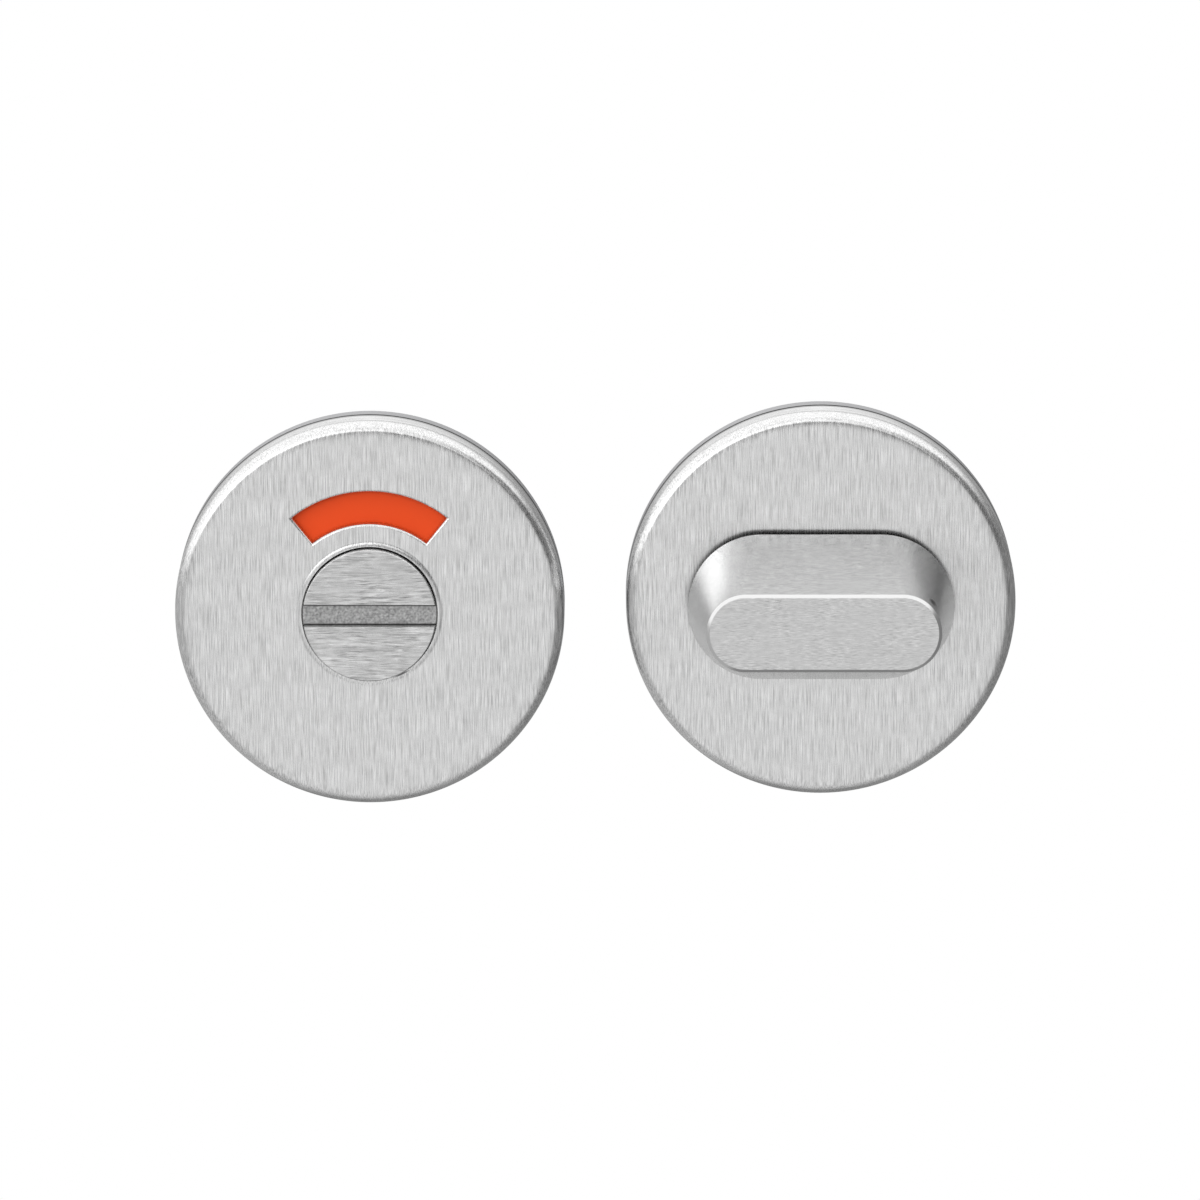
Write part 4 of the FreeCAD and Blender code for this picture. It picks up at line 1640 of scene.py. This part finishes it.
@dataclass
class ThumbTurn(Rose):
    """The inner half: a tapering grip on its stem, the spindle, its pin and the bolts."""

    grip_back_width: float = 19.6
    grip_front_length: float = 31.0
    grip_front_width: float = 10.4
    grip_front_chamfer: float = 0.42
    grip_back_chamfer: float = 0.3
    grip_height: float = 19.0
    grip_edge: float = 0.12
    end_columns: int = 64
    collar_radius: float = 8.9
    tail: float = -1.65
    socket_width: float = 5.1
    spindle_chamfer: float = 0.6
    spindle_edge: float = 0.25
    pin_radius: float = 0.75
    bolt_neck: float = 2.0
    bolt_thread: float = 1.95
    bolt_root: float = 1.6
    thread_sink: float = 0.02
    thread_steps: int = 32
    bolt_pitch: float = 0.7
    bolt_neck_proud: float = 0.4
    bolt_tip: float = 0.5
    bolt_head_round: float = 0.9
    bolt_head_height: float = 2.2
    bolt_head_gap: float = 0.2
    recess_span: float = 4.0
    recess_width: float = 0.9
    recess_depth: float = 1.2

    @property
    def stem_part(self) -> Span:
        """Box of the thumb turn, which carries the stem."""
        return self.seat.span("thumb_turn")

    @property
    def head_radius(self) -> float:
        """Radius of the collar, which turns in the cover's bore."""
        return self.collar_radius

    @property
    def stem_end(self) -> float:
        """Where the thumb turn's stem ends."""
        return self.tail

    @property
    def tab_angle(self) -> float:
        """The tab stands at the end of its pocket, to the left of six o'clock."""
        return SIX_O_CLOCK - QUARTER_TURN / 2

    def make_grip(self) -> bpy.types.Object:
        """Builds the grip: a stadium that shrinks evenly from its back to its front."""
        tree = ShapeTree("grip")
        part = self.stem_part
        back = tree.size("Back", part.front - self.grip_height)
        front = tree.size("Front", part.front)
        back_length = tree.size("Back length", part.width)
        back_width = tree.size("Back width", self.grip_back_width)
        front_length = tree.size("Front length", self.grip_front_length)
        front_width = tree.size("Front width", self.grip_front_width)
        back_chamfer = tree.size("Back chamfer", self.grip_back_chamfer)
        front_chamfer = tree.size("Front chamfer", self.grip_front_chamfer)
        columns = tree.size("Columns round an end", self.end_columns)
        sheet, column, row = tree.sheet(2 * self.end_columns + 3, 6)
        half = (column / (columns + 1)).floor()
        within = column - half * (columns + 1)
        side = 1.0 - 2.0 * half.modulo(2.0)
        angle = math.pi * (half + within / columns - 0.5)
        back_reach = (back_length - back_width) * 0.5
        front_reach = (front_length - front_width) * 0.5
        reach = tree.pick(row, [back_reach] * 3 + [front_reach] * 3)
        back_radius, front_radius = back_width * 0.5, front_width * 0.5
        back_rim, front_rim = back_radius - back_chamfer, front_radius - front_chamfer
        radii = [0.0, back_rim, back_radius, front_radius, front_rim, 0.0]
        radius = tree.pick(row, radii)
        height = tree.pick(row, [back, back, back + back_chamfer, front - front_chamfer, front, front])
        x = side * reach + radius * angle.cosine()
        shape = tree.laid(sheet, x, radius * angle.sine(), height)
        return tree.make(shape, self.seat, self.finishes.grip)

    def make_thumb_turn(self) -> bpy.types.Object:
        """Builds the grip, its collar and its stem as one solid."""
        turn = self.make_grip()
        grip_back = self.stem_part.front - self.grip_height
        section = [
            *self.stem_section(),
            (self.collar_radius, self.shoulder),
            (self.collar_radius, grip_back + OVERLAP),
        ]
        combine(turn, Join.ADD, [turned(section, solid=True).build(self.seat)])
        spindle = self.seat.span("spindle")
        width = self.socket_width
        socket = bar(self.seat, width, width, self.tail - OVERLAP, spindle.front + self.bolt_head_gap)
        pin = cross_rod(self.seat, self.pin_radius + self.fit, self.collar_radius + OVERLAP, self.pin_height)
        combine(turn, Join.CUT, [socket, pin, *self.flats()])
        return turn

    @property
    def pin_height(self) -> float:
        """Height of the spindle's cross pin."""
        pin = self.seat.span("spindle_pin")
        return (pin.back + pin.front) / 2

    def make_spindle(self) -> bpy.types.Object:
        """Builds the square spindle with its tapered tip."""
        span = self.seat.span("spindle")
        half = span.radius
        form = Form()
        taper = self.spindle_chamfer
        levels = [(half - taper, span.back), (half, span.back + taper), (half, span.front)]
        loops = [form.loop([(-r, -r, z), (r, -r, z), (r, r, z), (-r, r, z)]) for r, z in levels]
        for near, far in zip(loops, loops[1:]):
            form.bridge(near, far)
        form.cap(loops[0])
        form.cap(loops[-1])
        spindle = form.build(self.seat)
        soften(spindle, self.spindle_edge, rounds=3)
        pin = cross_rod(self.seat, self.pin_radius + self.fit, half * 2, self.pin_height)
        combine(spindle, Join.CUT, [pin])
        return spindle

    def make_pin(self) -> bpy.types.Object:
        """Builds the pin through the collar and the spindle."""
        return cross_rod(self.seat, self.pin_radius, self.seat.span("spindle_pin").high.y, self.pin_height)

    @property
    def bolt_seat(self) -> float:
        """Height at which the bolts' heads sit in the base."""
        return self.base_front - self.bolt_head_height - self.bolt_head_gap

    def fixings(self) -> tuple[list[bpy.types.Object], list[bpy.types.Object]]:
        """Two pillars, bored for the bolts and counterbored for their heads."""
        head = self.seat.span("through_bolts").high.x - self.fixing_circle + self.bolt_head_gap
        neck = self.bolt_neck + self.bolt_head_gap
        added, cuts = [], []
        for side in BOTH_SIDES:
            x = side * self.fixing_circle
            pillar = [(self.pillar_radius, SETBACK), (self.pillar_radius, self.web_back + OVERLAP)]
            added.append(rod(self.seat, pillar, x))
            hole = [
                (neck, -OVERLAP),
                (neck, self.bolt_seat),
                (head, self.bolt_seat),
                (head, self.base_front + OVERLAP),
            ]
            cuts.append(rod(self.seat, hole, x))
        return added, cuts

    def make_thread(self, x: float, tip: float) -> bpy.types.Object:
        """Builds one bolt's thread, a sheet whose rows follow the helix.

        Args:
            x: The bolt's place to the right of the axis.
            tip: Height of the bolt's end.

        Returns:
            The thread, a solid whose ends lie inside the bolt's core.
        """
        tree = ShapeTree("bolt_thread")
        pitch = tree.size("Pitch", self.bolt_pitch)
        crest = tree.size("Crest radius", self.bolt_thread)
        root = tree.size("Root radius", self.bolt_root - self.thread_sink)
        low = tree.size("Tip", tip + self.bolt_tip)
        place = tree.size("Place", x)
        turns = int((-self.bolt_neck_proud - tip - self.bolt_tip) / self.bolt_pitch) - 1
        sheet, column, row = tree.sheet(self.thread_steps + 1, 2 * turns + 1)
        share = column / float(self.thread_steps)
        angle = share * math.tau
        height = low + pitch * (row * 0.5 + share)
        radius = root + (crest - root) * row.modulo(2.0)
        shape = tree.laid(sheet, place + radius * angle.cosine(), radius * angle.sine(), height)
        thread = tree.make(shape, self.seat, self.finishes.plated)
        close_ends(thread)
        return thread

    def make_bolts(self) -> bpy.types.Object:
        """Builds the two machine bolts, each with a pan head, a cross recess and a thread."""
        span = self.seat.span("through_bolts")
        head = span.high.x - self.fixing_circle
        top, tip = self.bolt_seat + self.bolt_head_height, span.back
        bolts: list[bpy.types.Object] = []
        for side in BOTH_SIDES:
            x = side * self.fixing_circle
            section = [
                (self.bolt_root - self.bolt_tip, tip),
                (self.bolt_root, tip + self.bolt_tip),
                (self.bolt_root, -self.bolt_neck_proud - self.bolt_pitch),
                (self.bolt_neck, -self.bolt_neck_proud),
                (self.bolt_neck, self.bolt_seat),
                (head, self.bolt_seat),
                (head, top, self.bolt_head_round),
                (self.bolt_head_round, top),
            ]
            form = turned(section, solid=True, angles=steps(0.0, FULL_TURN, ARC_STEPS))
            form.points = [(px + x, py, pz) for px, py, pz in form.points]
            bolt = form.build(self.seat)
            arms = []
            sides = (self.recess_span, self.recess_width)
            for width, height in (sides, sides[::-1]):
                arm = bar(self.seat, width, height, top - self.recess_depth, top + OVERLAP)
                arm.data.transform(Matrix.Translation((x * MM, 0.0, 0.0)))
                arms.append(arm)
            combine(bolt, Join.CUT, arms)
            soften(bolt, self.edge)
            combine(bolt, Join.ADD, [self.make_thread(x, tip)])
            bolts.append(bolt)
        return merged(bolts)

    def dress_all(self) -> None:
        """Builds and dresses every piece of this half."""
        self.dress_shared()
        turn = self.make_thumb_turn()
        soften(turn, self.grip_edge, rounds=3)
        dress(turn, "thumb_turn", self.finishes.grip)
        dress(self.make_spindle(), "spindle", self.finishes.plated)
        pin = self.make_pin()
        soften(pin, self.edge * 2)
        dress(pin, "spindle_pin", self.finishes.plated)
        dress(self.make_bolts(), "through_bolts", self.finishes.plated)


def merged(pieces: Sequence[bpy.types.Object]) -> bpy.types.Object:
    """Joins separate solids into one object.

    Args:
        pieces: The solids.

    Returns:
        The object that holds them all.
    """
    shape = bmesh.new()
    for piece in pieces:
        shape.from_mesh(piece.data)
    mesh = bpy.data.meshes.new("group")
    shape.to_mesh(mesh)
    shape.free()
    for piece in pieces:
        bpy.data.objects.remove(piece)
    mesh.shade_smooth()
    return shown(mesh)


# Studio


@dataclass(frozen=True)
class Panel:
    """A soft bright panel of the studio, about one direction from the object."""

    middle: Point
    edge: float
    core: float
    level: float

    def share(self, x: Number, y: Number, z: Number) -> Number:
        """How much of the panel shows in a direction, from 0 outside it to 1 at its core."""
        across, ahead, up = self.middle
        return (x * across + y * ahead + z * up).ramp(self.edge, self.core)


@dataclass(frozen=True)
class Band:
    """A level stripe of the studio in front of the object, such as the dark beside the lens."""

    height: float
    half_width: float
    fade: float
    level: float
    ahead: Limits = (0.5, 0.85)
    rightwards: Limits = (-0.25, -0.08)

    def share(self, x: Number, y: Number, z: Number) -> Number:
        """How much of the stripe shows in a direction, from 0 outside it to 1 in its middle."""
        away = (z - self.height).size().ramp(self.half_width, self.half_width + self.fade)
        return (1.0 - away) * (y * -1.0).ramp(*self.ahead) * x.ramp(*self.rightwards)


@dataclass(frozen=True)
class Studio:
    """Plain white studio: a far floor, soft light and a camera from a little above."""

    elevation: float = 11.0
    lens: float = 300.0
    sensor: float = 36.0
    view_width: float = 160.0
    turn_right: float = 29.47
    turn_down: float = 0.57
    floor_drop: float = 1.3
    floor_size: float = 60.0
    floor_tone: Colour = (0.8, 0.8, 0.8)
    left: float = 0.56
    right: float = 0.27
    side_limits: Limits = (-0.4, 0.9)
    table_front: float = 1.03
    table_back: float = 0.3
    table_limits: Limits = (-1.0, -0.05)
    middle_limits: Limits = (0.03, 0.14)
    upper: float = 0.74
    upper_limits: Limits = (0.3, 0.6)
    horizon_limits: Limits = (-0.05, 0.12)
    panels: tuple[Panel, ...] = (
        Panel((-0.25, -0.45, 0.86), 0.15, 0.45, 1.36),
        Panel((-0.08, 0.98, 0.15), 0.90, 0.97, 1.1),
        Panel((0.60, -0.77, 0.22), 0.90, 0.95, 0.15),
        Panel((-0.48, -0.84, 0.25), 0.965, 0.988, 3.4),
    )
    bands: tuple[Band, ...] = (
        Band(0.06, 0.045, 0.07, 0.1),
        Band(0.63, 0.08, 0.1, 1.08),
    )
    fill_power: float = 14.0
    fill_size: float = 1.2
    fill_place: Point = (0.1, -2.1, 0.55)

    def build(self, face: Vector) -> None:
        """Builds the whole studio.

        Args:
            face: Middle of the turn cover's face, in metres.
        """
        self.add_camera(face)
        self.add_world()
        self.add_floor()
        self.add_fill(face)
        bpy.context.scene.view_settings.view_transform = "Standard"

    def add_camera(self, face: Vector) -> None:
        """Aims a long lens so that the turn cover's face lies where the photograph has it."""
        tilt = math.radians(self.elevation)
        ahead = Vector((0.0, math.cos(tilt), -math.sin(tilt)))
        up = Vector((0.0, math.sin(tilt), math.cos(tilt)))
        aim = face - Vector((self.turn_right * MM, 0.0, 0.0)) + up * (self.turn_down * MM)
        distance = self.lens / self.sensor * self.view_width * MM
        data = bpy.data.cameras.new("camera")
        data.lens = self.lens
        data.sensor_width = self.sensor
        camera = bpy.data.objects.new("camera", data)
        camera.location = aim - ahead * distance
        camera.rotation_mode = "QUATERNION"
        camera.rotation_quaternion = ahead.to_track_quat("-Z", "Y")
        bpy.context.scene.collection.objects.link(camera)
        bpy.context.scene.camera = camera

    def add_world(self) -> None:
        """White to the camera, and a soft studio of large pale panels to the object."""
        world = bpy.data.worlds.new("studio")
        world.use_nodes = True
        bpy.context.scene.world = world
        tree = Tree(world.node_tree)
        x, y, z = tree.parts(tree.add("ShaderNodeTexCoord").outputs["Generated"])
        level = self.left + (self.right - self.left) * x.ramp(*self.side_limits)
        change = self.table_back - self.table_front
        table = self.table_front + change * y.ramp(*self.table_limits, smooth=False)
        level = self.toward(level, table, 1.0 - (x * x).ramp(*self.middle_limits))
        level = self.toward(level, self.upper, z.ramp(*self.upper_limits))
        for panel in self.panels:
            above = z.ramp(*self.horizon_limits)
            level = self.toward(level, panel.level, panel.share(x, y, z) * above)
        for band in self.bands:
            level = self.toward(level, band.level, band.share(x, y, z))
        seen = Number(tree, tree.add("ShaderNodeLightPath").outputs["Is Camera Ray"])
        level = self.toward(level, 1.0, seen)
        light = tree.add("ShaderNodeBackground", feeds={"Color": WHITE, "Strength": level})
        tree.add("ShaderNodeOutputWorld", feeds={"Surface": light.outputs[0]})

    @staticmethod
    def toward(level: Number, other: float, share: Number) -> Number:
        """Moves a level toward another by a share."""
        return level + (other - level) * share

    def add_floor(self) -> None:
        """Wide pale floor, far below, which only the camera sees."""
        half = self.floor_size / 2
        mesh = bpy.data.meshes.new("floor")
        corners = [(-half, -half), (half, -half), (half, half), (-half, half)]
        mesh.from_pydata([(x, y, -self.floor_drop) for x, y in corners], [], [(0, 1, 2, 3)])
        floor = shown(mesh)
        floor.name = "floor"
        material = bpy.data.materials.new("pale_floor")
        material.use_nodes = True
        tree = Tree(material.node_tree)
        white = tree.add("ShaderNodeEmission", feeds={"Color": WHITE, "Strength": 1.0})
        pale = tree.add("ShaderNodeBsdfDiffuse", feeds={"Color": opaque(self.floor_tone)})
        seen = tree.add("ShaderNodeLightPath").outputs["Is Camera Ray"]
        mixed = tree.add("ShaderNodeMixShader", feeds={0: seen, 1: pale.outputs[0], 2: white.outputs[0]})
        tree.add("ShaderNodeOutputMaterial", feeds={"Surface": mixed.outputs[0]})
        mesh.materials.append(material)
        floor.visible_glossy = False
        floor.visible_diffuse = False

    def add_fill(self, face: Vector) -> None:
        """Soft lamp from the front and above, which metal doesn't mirror."""
        data = bpy.data.lights.new("fill", "AREA")
        data.energy = self.fill_power
        data.size = self.fill_size
        lamp = bpy.data.objects.new("fill", data)
        lamp.location = self.fill_place
        lamp.rotation_mode = "QUATERNION"
        lamp.rotation_quaternion = (face - lamp.location).to_track_quat("-Z", "Y")
        lamp.visible_glossy = False
        bpy.context.scene.collection.objects.link(lamp)


def make_finishes(release: Seat, turn: Seat) -> Finishes:
    """Builds every material.

    Args:
        release: Seat of the release half.
        turn: Seat of the turn half.

    Returns:
        The materials.
    """
    # Painted shade: a dark streak on the release cover along the lower right of the bore, standing in for
    # the gap beside the head.
    bore_gap_shade = SmudgeAndShade(release.place((4.23, -8.15, 8.5)), (1.6, 0.5, 0.2), 0.9, tilt=25.8)
    nick = SmudgeAndShade(turn.place((14.32, 3.81, 26.5)), (0.8, 1.2, 0.8), 0.95)
    # The slot floor is painted darker, partly its duller milled finish and partly painted shade; its corners
    # get darker painted shade.
    slot = DullFloorAndShade(release.place((0.0, -0.15, 8.9)), 0.5, 1.35, 0.85)
    grip_front = turn.span("thumb_turn").front
    # Painted shade along the seam between base and cover; the cover gets a wider one.
    seam_shade = SeamShade(3.0)
    cover = SatinSteel(
        "satin_steel_cover", Brushing.UPRIGHT, crispness=1.5, steady=0.6, streak_length=3.6,
        relief=0.08, marks=(bore_gap_shade,), seam_shade=SeamShade(3.0, fade=1.3),
    )
    head = SatinSteel(
        "satin_steel_head", Brushing.LEVEL, tone=0.56, streak_width=0.15, streak_length=2.4,
        waviness=0.8, contrast=0.54, anisotropy=0.55, floor_and_shade=slot,
    )
    # The grip's darkened back is painted shade, and its paler front chamfer is a painted highlight.
    grip = SatinSteel(
        "satin_steel_grip", Brushing.LEVEL, tone=0.58, streak_width=0.065, streak_length=0.9,
        contrast=0.31, roughness=0.23, anisotropy=0.4, relief=0.05, crispness=1.15,
        marks=(nick,), back_shade_height=10.25, rim_highlight=(grip_front - ThumbTurn.grip_front_chamfer, grip_front),
    )
    return Finishes(
        cover=cover.material(),
        head=head.material(),
        grip=grip.material(),
        cast=DieCastZinc(seam_shade=seam_shade).material(),
        nylon=Moulded("white_nylon", (0.80, 0.79, 0.75), roughness=0.5).material(),
        spring=SmallSteel("spring_steel", (0.10, 0.10, 0.105), (0.2, 0.2, 0.205), 0.35).material(),
        plated=SmallSteel("zinc_plated_steel", (0.56, 0.57, 0.58), (0.70, 0.71, 0.73), 0.3).material(),
        white=Moulded("white_plastic", (0.83, 0.83, 0.81)).material(),
        red=Moulded("red_film", (0.745, 0.066, 0.009), shade=0.97, roughness=0.5, specular=0.2).material(),
    )


def main() -> None:
    """Builds both halves and the studio."""
    logging.basicConfig(level=logging.INFO, format="%(message)s")
    finishes = make_finishes(Seat.of("release_base"), Seat.of("turn_base"))
    release = CoinRelease("release", finishes)
    turn = ThumbTurn("turn", finishes)
    release.dress_all()
    turn.dress_all()
    Studio().build(turn.seat.place((0.0, 0.0, turn.depth)))


if __name__ == "__main__":
    main()
